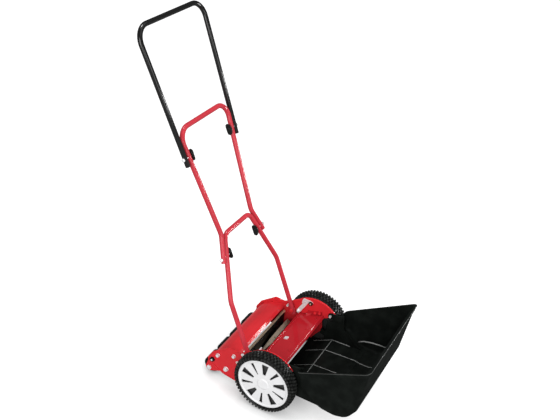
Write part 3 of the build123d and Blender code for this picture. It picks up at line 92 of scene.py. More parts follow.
class Finish:
    """A principled surface whose patterns are laid out in metres on the object."""

    def __init__(self, name, colour, roughness, metallic=0.0):
        self.material = bpy.data.materials.new(name)
        self.material.use_nodes = True
        self.nodes = self.material.node_tree.nodes
        self.links = self.material.node_tree.links
        self.shader = self.nodes["Principled BSDF"]
        self.shader.inputs["Base Color"].default_value = (*colour, 1.0)
        self.shader.inputs["Roughness"].default_value = roughness
        self.shader.inputs["Metallic"].default_value = metallic
        self.place = self.nodes.new("ShaderNodeTexCoord").outputs["Object"]
        self.normal = None

    def set(self, socket, value):
        self.shader.inputs[socket].default_value = value

    def stretched(self, scale):
        """Object coordinates stretched by a factor on each axis."""
        mapping = self.nodes.new("ShaderNodeMapping")
        mapping.inputs["Scale"].default_value = scale
        self.links.new(self.place, mapping.inputs["Vector"])
        return mapping.outputs["Vector"]

    def noise(self, scale, detail=3.0, place=None):
        """Noise with `scale` cells to the metre."""
        texture = self.nodes.new("ShaderNodeTexNoise")
        texture.inputs["Scale"].default_value = scale
        texture.inputs["Detail"].default_value = detail
        self.links.new(place or self.place, texture.inputs["Vector"])
        return texture.outputs["Fac"]

    def cells(self, scale):
        """Distance from the middles of `scale` cells to the metre."""
        texture = self.nodes.new("ShaderNodeTexVoronoi")
        texture.inputs["Scale"].default_value = scale
        self.links.new(self.place, texture.inputs["Vector"])
        return texture.outputs["Distance"]

    def blend(self, source, low, high, start=0.35, end=0.65):
        """Colour that goes from low to high as the source goes from start to end."""
        ramp = self.nodes.new("ShaderNodeValToRGB")
        ramp.color_ramp.elements[0].position = start
        ramp.color_ramp.elements[0].color = (*low, 1.0)
        ramp.color_ramp.elements[1].position = end
        ramp.color_ramp.elements[1].color = (*high, 1.0)
        self.links.new(source, ramp.inputs["Fac"])
        return ramp.outputs["Color"]

    def span(self, source, low, high, start=0.3, end=0.7):
        """Number that goes from low to high as the source goes from start to end."""
        node = self.nodes.new("ShaderNodeMapRange")
        node.inputs["From Min"].default_value = start
        node.inputs["From Max"].default_value = end
        node.inputs["To Min"].default_value = low
        node.inputs["To Max"].default_value = high
        self.links.new(source, node.inputs["Value"])
        return node.outputs["Result"]

    def colour(self, source):
        self.links.new(source, self.shader.inputs["Base Color"])

    def roughness(self, source):
        self.links.new(source, self.shader.inputs["Roughness"])

    def rounded(self, radius):
        """Softens the light on sharp edges over a small radius."""
        bevel = self.nodes.new("ShaderNodeBevel")
        bevel.samples = 6
        bevel.inputs["Radius"].default_value = radius
        self.face(bevel.outputs["Normal"])

    def bump(self, source, strength, distance):
        """Raises the surface by a pattern, over any rounding set before."""
        node = self.nodes.new("ShaderNodeBump")
        node.inputs["Strength"].default_value = strength
        node.inputs["Distance"].default_value = distance
        self.links.new(source, node.inputs["Height"])
        if self.normal:
            self.links.new(self.normal, node.inputs["Normal"])
        self.face(node.outputs["Normal"])

    def face(self, normal):
        """Turns both the surface and its clear coat to a normal."""
        self.normal = normal
        self.links.new(normal, self.shader.inputs["Normal"])
        self.links.new(normal, self.shader.inputs["Coat Normal"])

    def coat(self, weight, roughness):
        """Swaps the plain reflection for a clear coat of a given weight."""
        self.set("Specular IOR Level", 0.0)
        self.set("Coat Weight", weight)
        self.set("Coat Roughness", roughness)


def tinted(colour, factor):
    """The same colour made darker or lighter."""
    return tuple(factor * part for part in colour)


def red_paint(name, colour):
    """Red enamel with slow changes of shade and a faint orange peel."""
    finish = Finish(name, colour, 0.20)
    finish.coat(0.50, 0.09)
    finish.colour(finish.blend(finish.noise(14), tinted(colour, 0.91), colour))
    finish.roughness(finish.span(finish.noise(60), 0.30, 0.42))
    finish.rounded(0.0008)
    finish.bump(finish.noise(420, detail=1.0), 0.012, 0.0006)
    return finish.material


def black_enamel():
    """Glossy black enamel."""
    finish = Finish("black_enamel", BLACK_ENAMEL, 0.34)
    finish.coat(0.40, 0.16)
    finish.set("Coat IOR", 1.9)
    finish.roughness(finish.span(finish.noise(80), 0.34, 0.46))
    finish.rounded(0.0008)
    finish.bump(finish.noise(700, detail=1.0), 0.015, 0.0005)
    return finish.material


def plated(name, colour, dull):
    """Plated steel with a faint crystal pattern."""
    finish = Finish(name, colour, 0.30, metallic=0.50)
    finish.colour(finish.blend(finish.cells(260), dull, colour, 0.2, 0.8))
    finish.roughness(finish.span(finish.noise(150), 0.24, 0.40))
    finish.rounded(0.0005)
    finish.bump(finish.noise(900, detail=2.0), 0.10, 0.0003)
    return finish.material


def blade_steel():
    """Ground steel with grinding streaks along the blades."""
    finish = Finish("ground_steel", BLADE, 0.34, metallic=1.0)
    streaks = finish.noise(1, detail=4.0, place=finish.stretched((18, 900, 900)))
    finish.colour(finish.blend(streaks, BLADE_STREAK, BLADE, 0.3, 0.7))
    finish.roughness(finish.span(streaks, 0.26, 0.48))
    finish.rounded(0.0004)
    finish.bump(streaks, 0.12, 0.0004)
    return finish.material


def tyre_rubber(name, colour, dusty):
    """Rubber with dusty patches and a fine grain."""
    finish = Finish(name, colour, 0.62)
    finish.coat(0.35, 0.32)
    finish.colour(finish.blend(finish.noise(90, detail=5.0), colour, dusty, 0.45, 0.80))
    finish.roughness(finish.span(finish.noise(180), 0.52, 0.74))
    finish.bump(finish.noise(1400, detail=2.0), 0.15, 0.0004)
    return finish.material


def white_plastic():
    """White moulding of the hub caps."""
    finish = Finish("white_moulding", WHITE, 0.36)
    finish.colour(finish.blend(finish.noise(45, detail=4.0), tinted(WHITE, 0.95), WHITE, 0.3, 0.6))
    finish.roughness(finish.span(finish.noise(120), 0.32, 0.44))
    finish.rounded(0.0008)
    finish.bump(finish.noise(1500, detail=1.0), 0.05, 0.0003)
    return finish.material


def moulded_black(name, colour, roughness, shine, grain, depth):
    """Black moulding with a fine spark grain and slightly uneven sheen."""
    finish = Finish(name, colour, roughness)
    finish.coat(shine, 0.20)
    finish.colour(finish.blend(finish.noise(30, detail=4.0), colour, tinted(colour, 2.0), 0.4, 0.8))
    finish.roughness(finish.span(finish.noise(18, detail=4.0), roughness - 0.06, roughness + 0.08))
    finish.rounded(0.0012)
    finish.bump(finish.cells(grain), depth, 0.0003)
    return finish.material


def wheel_rim():
    """Black moulding whose outer face is painted lighter grey, as painted light seen through the slots in the
    cap.
    """
    finish = Finish("rim_moulding_painted_light", RIM_PAINTED_LIGHT_GREY, 0.50)
    finish.coat(0.20, 0.30)
    axes = finish.nodes.new("ShaderNodeSeparateXYZ")
    finish.links.new(finish.place, axes.inputs["Vector"])
    reach = finish.nodes.new("ShaderNodeMath")
    reach.operation = "ABSOLUTE"
    finish.links.new(axes.outputs["X"], reach.inputs[0])
    finish.colour(finish.blend(reach.outputs["Value"], MOULDED_BLACK, RIM_PAINTED_LIGHT_GREY, *RIM_FADE))
    finish.roughness(finish.span(finish.noise(40, detail=4.0), 0.44, 0.58))
    finish.bump(finish.cells(1200), 0.10, 0.0003)
    return finish.material


finishes = {
    "red_paint": red_paint("red_enamel", RED),
    "shaded_red_paint": red_paint("painted_shade_red_enamel", SHADED_RED),
    "tube_paint": red_paint("tube_enamel", TUBE_RED),
    "black_paint": black_enamel(),
    "zinc": plated("bright_zinc", ZINC, DULL_ZINC),
    "yellow_zinc": plated("yellow_zinc", YELLOW_ZINC, DULL_YELLOW_ZINC),
    "blade_steel": blade_steel(),
    "tyre": tyre_rubber("tyre_rubber", RUBBER, RUBBER_DUST),
    "carcass": tyre_rubber("carcass_rubber_painted_shade", SHADED_CARCASS_BLACK, RUBBER),
    "white_plastic": white_plastic(),
    "black_plastic": moulded_black("black_moulding", MOULDED_BLACK, 0.46, 0.30, 1400, 0.10),
    "catcher_plastic": moulded_black("catcher_moulding", CATCHER_BLACK, 0.44, 0.035, 900, 0.10),
    "painted_light_rim_plastic": wheel_rim(),
    "scuff_and_highlight_plastic": moulded_black("scuff_and_highlight_moulding", SCUFF_AND_HIGHLIGHT_GREY, 0.40, 0.60, 900, 0.05),
    "step_highlight_plastic": moulded_black("step_highlight_moulding", STEP_HIGHLIGHT_GREY, 0.36, 0.60, 900, 0.05),
    "catcher_rim_highlight_plastic": moulded_black("catcher_rim_highlight_moulding", CATCHER_RIM_HIGHLIGHT_GREY, 0.40, 0.40, 900, 0.05),
}

# Finish of each CAD node: its slot in the record, or another one
slot_of = {part["node"]: part["material_slot"] for part in frame["record"]["subparts"]}
OTHER_FINISH = {
    "tie_rod": "yellow_zinc",
    # painted shade: the bed bar is black so that the gap between the covers reads dark
    "bed_bar": "black_paint",
    # the front deflector gets the darker red as painted shade
    "front_deflector": "shaded_red_paint",
    "right_wheel_rim": "painted_light_rim_plastic",
    "left_wheel_rim": "painted_light_rim_plastic",
    "lower_handle": "tube_paint",
    "middle_handle": "tube_paint",
}
for name, node in nodes.items():
    finish = OTHER_FINISH.get(name, slot_of[name])
    node.data.materials.clear()
    node.data.materials.append(finishes[finish])


# Mesh helpers
ALONG_X = Vector((1, 0, 0))
UP = Vector((0, 0, 1))
SQUARE = ((-1, -1), (1, -1), (1, 1), (-1, 1))


def piece(name, mesh, finish, body, replaced=None):
    """Puts a finished mesh in the scene on its body."""
    bmesh.ops.recalc_face_normals(mesh, faces=mesh.faces)
    data = bpy.data.meshes.new(name)
    mesh.to_mesh(data)
    mesh.free()
    data.materials.append(finishes[finish])
    made = bpy.data.objects.new(name, data)
    bpy.context.scene.collection.objects.link(made)
    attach(made, body)
    if replaced:
        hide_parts(replaced)


def turns(count):
    """Evenly spaced angles round a full turn."""
    return [math.tau * step / count for step in range(count)]


def skin(mesh, rings, smooth=False, closed=False):
    """Faces from ring to ring, with a flat cap on each end unless the last ring joins the first."""
    following = rings[1:] + rings[:1] if closed else rings[1:]
    for here, there in zip(rings, following):
        for index in range(len(here)):
            corners = (here[index - 1], here[index], there[index], there[index - 1])
            mesh.faces.new(corners).smooth = smooth
    if not closed:
        mesh.faces.new(rings[0])
        mesh.faces.new(rings[-1])


def sweep(mesh, stations, steps):
    """Closed round form through stations (spot, across, over, radius)."""
    rings = []
    for spot, across, over, radius in stations:
        flats = [math.cos(angle) * across + math.sin(angle) * over for angle in turns(steps)]
        rings.append([mesh.verts.new(spot + radius * flat) for flat in flats])
    skin(mesh, rings, smooth=True)


def headings(path):
    """Direction of travel at each point of a path."""
    behind = path[:1] + path[:-1]
    ahead = path[1:] + path[-1:]
    return [(there - here).normalized() for here, there in zip(behind, ahead)]


# Tyres: a lathed carcass with staggered rows of tapered knobs
LUGS_ROUND = 52
LUG_HEIGHT = 0.0060
LUG_BLOCK = 0.0064
LUG_SINK = 0.0006
LUG_FOOT = 0.0066
LUG_ALONG = 0.0070
LUG_LEVELS = [(0.0, 1.0), (0.72, 0.89), (1.0, 0.6396)]
TREAD_ROWS = [
    (-0.0178, 0.0036, -34), (-0.0092, 0.0006, -6), (0.0, 0.0, 0), (0.0092, 0.0006, 6), (0.0178, 0.0036, 34),
]
CARCASS_STEPS = 104
CARCASS_SECTION = [
    (0.80, 0.0), (0.90, 0.10), (0.985, 0.38), (1.0, 0.60), (0.95, 0.76), (0.80, 0.90), (0.50, 0.98),
    (0.0, 1.0),
]


def carcass_profile(inner, crown, half):
    """Section of the tyre as (offset across, radius) points, from one bead over the crown to the other."""
    points = [(-half * share, inner + rise * (crown - inner)) for share, rise in CARCASS_SECTION]
    return points + [(-across, radius) for across, radius in reversed(points[:-1])]


def lug(mesh, seat):
    """One knob: a tapered block with its top edges broken."""
    rings = []
    for rise, share in LUG_LEVELS:
        ring = []
        for across, around in SQUARE:
            spot = Vector((across * LUG_ALONG / 2 * share, around * LUG_FOOT / 2 * share, rise * LUG_BLOCK))
            ring.append(mesh.verts.new(seat @ spot))
        rings.append(ring)
    skin(mesh, rings)


def tyre(hand):
    low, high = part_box(f"{hand}_tyre")
    centre = (low + high) / 2
    half = (high.x - low.x) / 2
    crown = (high.z - low.z) / 2 - LUG_HEIGHT
    spread = [math.hypot(v.co.y - centre.y, v.co.z - centre.z) for v in nodes[f"{hand}_tyre"].data.vertices]
    profile = carcass_profile(min(spread), crown, half)
    mesh = bmesh.new()
    rings = []
    for turn in turns(CARCASS_STEPS):
        spoke = Vector((0, math.cos(turn), math.sin(turn)))
        ring = [centre + across * ALONG_X + radius * spoke for across, radius in profile]
        rings.append([mesh.verts.new(spot) for spot in ring])
    skin(mesh, rings, smooth=True, closed=True)
    piece(f"{hand}_tyre_carcass", mesh, "carcass", f"{hand}_wheel", f"{hand}_tyre")
    mesh = bmesh.new()
    for row, (across, drop, lean) in enumerate(TREAD_ROWS):
        for count in range(LUGS_ROUND):
            turn = math.tau * (count + 0.5 * (row % 2)) / LUGS_ROUND
            seat = Matrix.Translation(centre) @ Matrix.Rotation(turn, 4, "X")
            seat = seat @ Matrix.Translation((across, 0, crown - drop - LUG_SINK))
            lug(mesh, seat @ Matrix.Rotation(math.radians(lean), 4, "Y"))
    piece(f"{hand}_tyre_knobs", mesh, "tyre", f"{hand}_wheel")


for hand in ("right", "left"):
    tyre(hand)

# Fasteners: chamfered hexagons, recessed pan heads, flanged heads and rolled threads
ROUND_STEPS = 36
PLATE_FACE = 0.1525
NUT_HEIGHT = 0.005
THREAD_END = 0.001
THREAD_PITCH = 0.001
THREAD_START_SHARE = 0.80
THREAD_ROOT_SHARE = 0.88
CHAMFER_SHARE = 0.1
CHAMFER_RADIUS_SHARE = 0.475
PAN_SECTION = [(0.0, 1.0), (0.4, 1.0), (0.8, 0.84), (1.0, 0.58), (0.9, 0.46), (0.4, 0.30)]
PAN_OVERHANG = 0.0025
TALLEST_PAN = 0.004
FLANGE_SHARE = 0.2
FLANGE_SECTION = [(0.0, 0.62), (0.6, 0.62), (1.0, 0.56)]


def turned(mesh, centre, stations, across=None):
    """Closed form along X through stations (x, radius), cut to a hexagon where its width is given."""
    rings = []
    for x, radius in stations:
        ring = []
        for angle in turns(ROUND_STEPS):
            reach = radius
            if across:
                flat = across / 2 / math.cos(angle % (math.pi / 3) - math.pi / 6)
                reach = min(radius, flat)
            y = centre[0] + reach * math.cos(angle)
            z = centre[1] + reach * math.sin(angle)
            ring.append(mesh.verts.new((x, y, z)))
        rings.append(ring)
    skin(mesh, rings)


def shaped(mesh, centre, start, end, size, section):
    """Round form between two places on X, from a section of (share of its length, share of its size)."""
    turned(mesh, centre, [(start + rise * (end - start), share * size) for rise, share in section])


def hexagon(mesh, centre, start, end, across):
    """Hexagon with both faces chamfered."""
    corner = across / math.sqrt(3)
    chamfer = math.copysign(CHAMFER_SHARE * across, end - start)
    edge = CHAMFER_RADIUS_SHARE * across
    stations = [(start, edge), (start + chamfer, corner), (end - chamfer, corner), (end, edge)]
    turned(mesh, centre, stations, across)


def threaded(mesh, centre, start, end, radius):
    """Rod with rolled thread rings."""
    count = max(2, round(abs(end - start) / THREAD_PITCH))
    stations = [(start, THREAD_START_SHARE * radius)]
    for turn in range(count):
        crest = start + (end - start) * (turn + 0.5) / count
        root = start + (end - start) * (turn + 1) / count
        stations += [(crest, radius), (root, THREAD_ROOT_SHARE * radius)]
    turned(mesh, centre, stations)


def flanged_head(mesh, centre, start, end, across):
    """Hexagon head on a round flange."""
    shaped(mesh, centre, start, start + FLANGE_SHARE * (end - start), across, FLANGE_SECTION)
    hexagon(mesh, centre, start, end, across)


def loose_parts(name):
    """Box of each separate solid in a node, as (lowest corner, highest corner)."""
    mesh = nodes[name].data
    group = {}

    def find(key):
        while group[key] != key:
            key = group[key]
        return key

    keys = [tuple(round(value, 6) for value in vertex.co) for vertex in mesh.vertices]
    for key in keys:
        group.setdefault(key, key)
    for face in mesh.polygons:
        first = find(keys[face.vertices[0]])
        for index in face.vertices[1:]:
            group[find(keys[index])] = first
    solids = {}
    for key in group:
        solids.setdefault(find(key), []).append(key)
    boxes = []
    for spots in solids.values():
        axes = list(zip(*spots))
        boxes.append(([min(axis) for axis in axes], [max(axis) for axis in axes]))
    return boxes


def bolt_place(box):
    """Side, axis and the inner and outer ends of a solid that lies along X."""
    low, high = box
    side = 1 if low[0] + high[0] > 0 else -1
    centre = ((low[1] + high[1]) / 2, (low[2] + high[2]) / 2)
    inner, outer = sorted((abs(low[0]), abs(high[0])))
    return side, centre, inner, outer


def plate_bolt(mesh, nuts, box, radius, across, nut_across):
    """A bolt through a plate, with its nut in a mesh of its own."""
    side, centre, inner, outer = bolt_place(box)
    nut_start = inner + THREAD_END
    nut_face = nut_start + NUT_HEIGHT
    threaded(nuts, centre, side * inner, side * nut_face, radius)
    hexagon(nuts, centre, side * nut_start, side * nut_face, nut_across)
    turned(mesh, centre, [(side * nut_face, radius), (side * PLATE_FACE, radius)])
    if outer - PLATE_FACE > TALLEST_PAN:
        flanged_head(mesh, centre, side * PLATE_FACE, side * outer, across)
    else:
        shaped(mesh, centre, side * PLATE_FACE, side * outer, radius + PAN_OVERHANG, PAN_SECTION)


# Plate bolts: radius and width across the flats of each kind
SMALL_BOLT = (0.003, 0.010)
LARGE_BOLT = (0.004, 0.013)
PLATE_BOLTS = {
    "bed_bar_bolts": SMALL_BOLT,
    "cover_bolts": SMALL_BOLT,
    "deflector_bolts": SMALL_BOLT,
    "roller_pivot_bolts": LARGE_BOLT,
    "handle_pivot_bolts": LARGE_BOLT,
}
for name, (radius, across) in PLATE_BOLTS.items():
    mesh = bmesh.new()
    nuts = bmesh.new()
    for box in loose_parts(name):
        plate_bolt(mesh, nuts, box, radius, across, across)
    piece(f"{name}_turned", mesh, "zinc", "chassis", name)
    piece(f"{name}_painted_nuts", nuts, "red_paint", "chassis")

# Adjuster bolts: black top nuts on brassy studs, plain nuts at the foot
TOP_NUT_ACROSS = 0.014
STUD_RADIUS = 0.0032
STUD_START = -0.0005
STUD_END = 0.003


def adjuster_bolts():
    mesh = bmesh.new()
    foot_nuts = bmesh.new()
    top_nuts = bmesh.new()
    studs = bmesh.new()
    boxes = loose_parts("adjuster_bolts")
    heights = [(low[2] + high[2]) / 2 for low, high in boxes]
    middle = sum(heights) / len(heights)
    for box, height in zip(boxes, heights):
        if height < middle:
            plate_bolt(mesh, foot_nuts, box, *SMALL_BOLT, SMALL_BOLT[1])
            continue
        plate_bolt(mesh, top_nuts, box, *SMALL_BOLT, TOP_NUT_ACROSS)
        side, centre, inner, _ = bolt_place(box)
        threaded(studs, centre, side * (inner + STUD_START), side * (inner + STUD_END), STUD_RADIUS)
    piece("adjuster_bolts_turned", mesh, "zinc", "chassis", "adjuster_bolts")
    piece("adjuster_foot_nuts", foot_nuts, "zinc", "chassis")
    piece("adjuster_top_nuts", top_nuts, "black_paint", "chassis")
    piece("adjuster_stud_ends", studs, "yellow_zinc", "chassis")


adjuster_bolts()

# Handle: the plane of its tubes, as distances up from the pivot
HANDLE_LEAN = math.radians(24.6)
HANDLE_PIVOT = Vector((0, -0.0777, 0.1244))
HANDLE_UP = Vector((0, -math.sin(HANDLE_LEAN), math.cos(HANDLE_LEAN)))
HANDLE_FRONT = Vector((0, math.cos(HANDLE_LEAN), math.sin(HANDLE_LEAN)))

# Upper handle: straight arms to a rounded bar, with open tube ends
TUBE_RADIUS = 0.0075
TUBE_BORE = 0.0060
TUBE_STEPS = 28
TUBE_MOUTH = 0.020
MOUTH_ROUND = 0.0003
MOUTH_LIP = 0.0004
UPPER_END = (0.132, 0.624)
UPPER_TOP = (0.159, 1.028)
UPPER_CORNER = 0.045
CORNER_STEPS = 12


def handle_spot(x, rise):
    return HANDLE_PIVOT + rise * HANDLE_UP + Vector((x, 0, 0))


def rounded_path(corners, radius):
    """Path through corner points with an arc at each inner one."""
    path = [corners[0]]
    for before, corner, after in zip(corners, corners[1:], corners[2:]):
        inward = (before - corner).normalized()
        outward = (after - corner).normalized()
        half = inward.angle(outward) / 2
        centre = corner + (inward + outward).normalized() * radius / math.sin(half)
        start = corner + inward * radius / math.tan(half) - centre
        end = corner + outward * radius / math.tan(half) - centre
        turn = start.rotation_difference(end)
        for step in range(CORNER_STEPS + 1):
            path.append(centre + Quaternion().slerp(turn, step / CORNER_STEPS) @ start)
    return path + [corners[-1]]


def mouth(end, inward):
    """Stations of an open tube end, from deep in the bore round its lip to the outside."""
    spot, across, over, radius = end
    places = [
        (TUBE_MOUTH, TUBE_BORE), (0.0, TUBE_BORE), (0.0, radius - MOUTH_ROUND), (MOUTH_LIP, radius),
    ]
    return [(spot + depth * inward, across, over, reach) for depth, reach in places]


def upper_handle():
    arm = [UPPER_END, UPPER_TOP]
    corners = [handle_spot(-x, rise) for x, rise in arm] + [handle_spot(x, rise) for x, rise in reversed(arm)]
    path = rounded_path(corners, UPPER_CORNER)
    leads = headings(path)
    stations = []
    for spot, ahead in zip(path, leads):
        stations.append((spot, ahead.cross(HANDLE_FRONT), HANDLE_FRONT, TUBE_RADIUS))
    first = mouth(stations[0], leads[0])
    last = mouth(stations[-1], -leads[-1])
    mesh = bmesh.new()
    sweep(mesh, first + stations[1:-1] + last[::-1], TUBE_STEPS)
    piece("upper_handle_straight", mesh, "black_paint", "upper_handle", "upper_handle")


upper_handle()

# Handle clamps: domed bolts through the tube laps
CLAMP_RADIUS = 0.003
CLAMP_THREAD = 0.012
CLAMP_HEAD_RADIUS = 0.0055
CLAMP_DOME = [(0.0, 1.0), (0.3, 1.0), (0.55, 0.93), (0.78, 0.76), (0.92, 0.5), (1.0, 0.18)]
CLAMPS = [("lower", "lower_handle", 0.007), ("upper", "middle_handle", 0.005)]
for lap, body, head in CLAMPS:
    mesh = bmesh.new()
    for box in loose_parts(f"{lap}_clamp_bolts"):
        side, centre, inner, outer = bolt_place(box)
        face = side * (outer - head)
        thread_end = side * (inner + CLAMP_THREAD)
        threaded(mesh, centre, side * inner, thread_end, CLAMP_RADIUS)
        turned(mesh, centre, [(thread_end, CLAMP_RADIUS), (face, CLAMP_RADIUS)])
        shaped(mesh, centre, face, side * outer, CLAMP_HEAD_RADIUS, CLAMP_DOME)
    piece(f"{lap}_clamp_bolts_turned", mesh, "zinc", body, f"{lap}_clamp_bolts")

# Clamp knobs: long rounded wings that rise clear of the slanting tubes
WING_LENGTH = 0.0180
WING_WIDTH = 0.0102
WING_POWER = 2.4
WING_CLEAR = 0.0090
WING_FLARE = 0.44
WING_RIPPLES = 14
WING_RIPPLE_DEPTH = 0.02
WING_STEPS = 84
WING_SHARES = [0.12, 0.26, 0.30, 0.45, 0.60, 0.74, 0.85, 0.93, 0.98, 1.0]
BOSS_RISE = 0.0008
BOSS_SHARE = 0.28


def wing_spot(angle, share, over, thick):
    """Distance of a knob's point from the bolt, and its height over the base."""
    length = abs(math.cos(angle)) / WING_LENGTH
    width = abs(math.sin(angle)) / WING_WIDTH
    outline = (length ** WING_POWER + width ** WING_POWER) ** (-1 / WING_POWER)
    reach = share * outline * (1 - WING_RIPPLE_DEPTH * share * (1 - math.cos(WING_RIPPLES * angle)))
    swell = over * thick / 2 * math.sqrt(max(0.0, 1 - share ** 4))
    boss = BOSS_RISE if over > 0 and share < BOSS_SHARE else 0.0
    return reach, thick / 2 + swell + boss + WING_FLARE * max(0.0, reach - WING_CLEAR)


def knob(name):
    low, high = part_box(name)
    centre = (low + high) / 2
    side = 1 if centre.x > 0 else -1
    base = Vector((side * max(abs(low.x), abs(high.x)), centre.y, centre.z))
    layers = [(share, -1) for share in WING_SHARES] + [(share, 1) for share in reversed(WING_SHARES[:-1])]
    mesh = bmesh.new()
    rings = []
    for share, over in layers:
        ring = []
        for angle in turns(WING_STEPS):
            reach, rise = wing_spot(angle, share, over, high.x - low.x)
            flat = math.cos(angle) * HANDLE_UP + math.sin(angle) * HANDLE_FRONT
            ring.append(mesh.verts.new(base - side * rise * ALONG_X + reach * flat))
        rings.append(ring)
    skin(mesh, rings, smooth=True)
    piece(f"{name}_winged", mesh, "black_plastic", name, name)


for hand in ("right", "left"):
    for lap in ("lower", "upper"):
        knob(f"{hand}_{lap}_knob")

# Catcher: moulded beads along the crest, the floor ribs and the ramp ribs, as (Y, Z) places
BEAD_RADIUS = 0.0015
BEAD_STEPS = 10
BEAD_TAPER = 0.4
BEAD_PARTS = 12
CREST = (0.075, 0.0690)
CREST_HALF = 0.1425
RIBS = (-0.1415, -0.084, 0.0, 0.084, 0.1415)
SHORT_RIBS_FROM = 0.1
RIB_RISE = 0.0015
RIB_END = (0.182, 0.0785)
RIB_RUN = [
    (0.190, 0.0758), (0.200, 0.0753), (0.210, 0.0749), (0.220, 0.0749), (0.230, 0.0768), (0.240, 0.0801),
]
SHORT_RIB_END = (0.139, 0.0741)
RAMP_RISE = 0.0012
RAMP_END = (0.012, 0.0362)
RAMP_BEAD_RADIUS = 0.0012


def bead(mesh, path, radius):
    """Thin round bead along a path, tapered at both ends."""
    stations = []
    for index, (spot, ahead) in enumerate(zip(path, headings(path))):
        across = ahead.cross(UP).normalized()
        size = radius * (BEAD_TAPER if index in (0, len(path) - 1) else 1.0)
        stations.append((spot, across, across.cross(ahead), size))
    sweep(mesh, stations, BEAD_STEPS)


def along(start, end):
    """Points from start to end with two close to each end."""
    shares = [0.0, 0.01] + [index / BEAD_PARTS for index in range(1, BEAD_PARTS)] + [0.99, 1.0]
    return [Vector(start).lerp(Vector(end), share) for share in shares]


mesh = bmesh.new()
bead(mesh, along((-CREST_HALF, *CREST), (CREST_HALF, *CREST)), BEAD_RADIUS)
for x in RIBS:
    start = (x, CREST[0], CREST[1] + RIB_RISE)
    if abs(x) > SHORT_RIBS_FROM:
        path = along(start, (x, *SHORT_RIB_END))
    else:
        path = along(start, (x, *RIB_END))[:-1] + [Vector((x, y, z)) for y, z in RIB_RUN]
    bead(mesh, path, BEAD_RADIUS)
    bead(mesh, along((x, CREST[0], CREST[1] + RAMP_RISE), (x, *RAMP_END)), RAMP_BEAD_RADIUS)
# the beads are light grey: scuffing, and a painted highlight along the crest and ribs
piece("catcher_beads", mesh, "scuff_and_highlight_plastic", "catcher")

# Catcher: painted highlight along the step in each side wall
SIDE_STEP = [
    (0.1600, 0.1580, 0.0905), (0.1632, 0.1749, 0.0983), (0.1648, 0.2013, 0.1043), (0.1660, 0.2283, 0.1065),
    (0.1670, 0.2500, 0.1070),
]
SIDE_STEP_RADIUS = 0.0023
mesh = bmesh.new()
for side in (-1, 1):
    bead(mesh, [Vector((side * x, y, z)) for x, y, z in SIDE_STEP], SIDE_STEP_RADIUS)
piece("catcher_step_beads", mesh, "step_highlight_plastic", "catcher")

# Catcher: seams that close the slit between each cheek of the throat and the tub
SEAM_SIDES = (0.1431, 0.1463)
SEAM_OUTLINE = [
    (0.1237, 0.1141), (0.1259, 0.1123), (0.1445, 0.0944), (0.1474, 0.0918), (0.1506, 0.0896),
    (0.1540, 0.0877), (0.1700, 0.0800), (0.1740, 0.0783), (0.1720, 0.0755), (0.1620, 0.0745),
    (0.1460, 0.0860), (0.1210, 0.1125),
]
mesh = bmesh.new()
for side in (-1, 1):
    skin(mesh, [[mesh.verts.new((side * x, y, z)) for y, z in SEAM_OUTLINE] for x in SEAM_SIDES])
piece("catcher_throat_seams", mesh, "catcher_plastic", "catcher")

# Catcher rim: a painted highlight along the edge round the front and both sides, in the plane of the rim
RIM_REAR = Vector((0, 0.0931, 0.1785))
RIM_FRONT = Vector((0, 0.3084, 0.2985))
RIM_BEAD_RADIUS = 0.0011
RIM_FLATNESS = 0.0003
RIM_SINK = 0.0004


def hull(points):
    """Convex outline of flat points, anticlockwise."""
    points = sorted(set(points))
    chains = []
    for run in (points, points[::-1]):
        chain = []
        for spot in run:
            while len(chain) > 1:
                (x0, y0), (x1, y1) = chain[-2:]
                if (x1 - x0) * (spot[1] - y0) - (y1 - y0) * (spot[0] - x0) > 0:
                    break
                chain.pop()
            chain.append(spot)
        chains += chain[:-1]
    return chains


def rim_bead():
    run = (RIM_FRONT - RIM_REAR).normalized()
    up = ALONG_X.cross(run)
    level = RIM_FRONT.dot(up)
    ring = []
    for vertex in nodes["catcher"].data.vertices:
        if abs(vertex.co.dot(up) - level) < RIM_FLATNESS and vertex.co.y > RIM_REAR.y:
            ring.append((round(vertex.co.x, 5), round(vertex.co.dot(run), 5)))
    outline = hull(ring)
    rear = min(range(len(outline)), key=lambda index: outline[index][1] + outline[index - 1][1])
    path = []
    for x, reach in outline[rear:] + outline[:rear]:
        path.append(x * ALONG_X + reach * run + (level - RIM_SINK) * up)
    mesh = bmesh.new()
    bead(mesh, path, RIM_BEAD_RADIUS)
    piece("catcher_rim_bead", mesh, "catcher_rim_highlight_plastic", "catcher")


rim_bead()

# Deflector: pressed dimples over the ends of its hidden stiffener
DIMPLE_RADIUS = 0.0045
DIMPLE_RISE = 0.0018
DIMPLE_FOOT = 0.0010
DIMPLE_STEPS = 20
DIMPLE_SECTION = [(0.0, 1.0), (0.35, 0.86), (0.7, 0.62), (0.92, 0.34), (1.0, 0.08)]
DIMPLES = (-0.125, -0.060, 0.060, 0.125)
DIMPLE_Y = 0.014
SHEET_REAR = Vector((0, -0.0490, 0.1190))
SHEET_FRONT = Vector((0, 0.0255, 0.1444))


def dimples():
    run = (SHEET_FRONT - SHEET_REAR).normalized()
    up = ALONG_X.cross(run).normalized()
    row = SHEET_REAR + run * ((DIMPLE_Y - SHEET_REAR.y) / run.y) + DIMPLE_FOOT * up
    mesh = bmesh.new()
    for x in DIMPLES:
        stations = []
        for rise, share in DIMPLE_SECTION:
            spot = row + x * ALONG_X + rise * DIMPLE_RISE * up
            stations.append((spot, ALONG_X, run, share * DIMPLE_RADIUS))
        sweep(mesh, stations, DIMPLE_STEPS)
    piece("deflector_dimples", mesh, "shaded_red_paint", "chassis")


dimples()

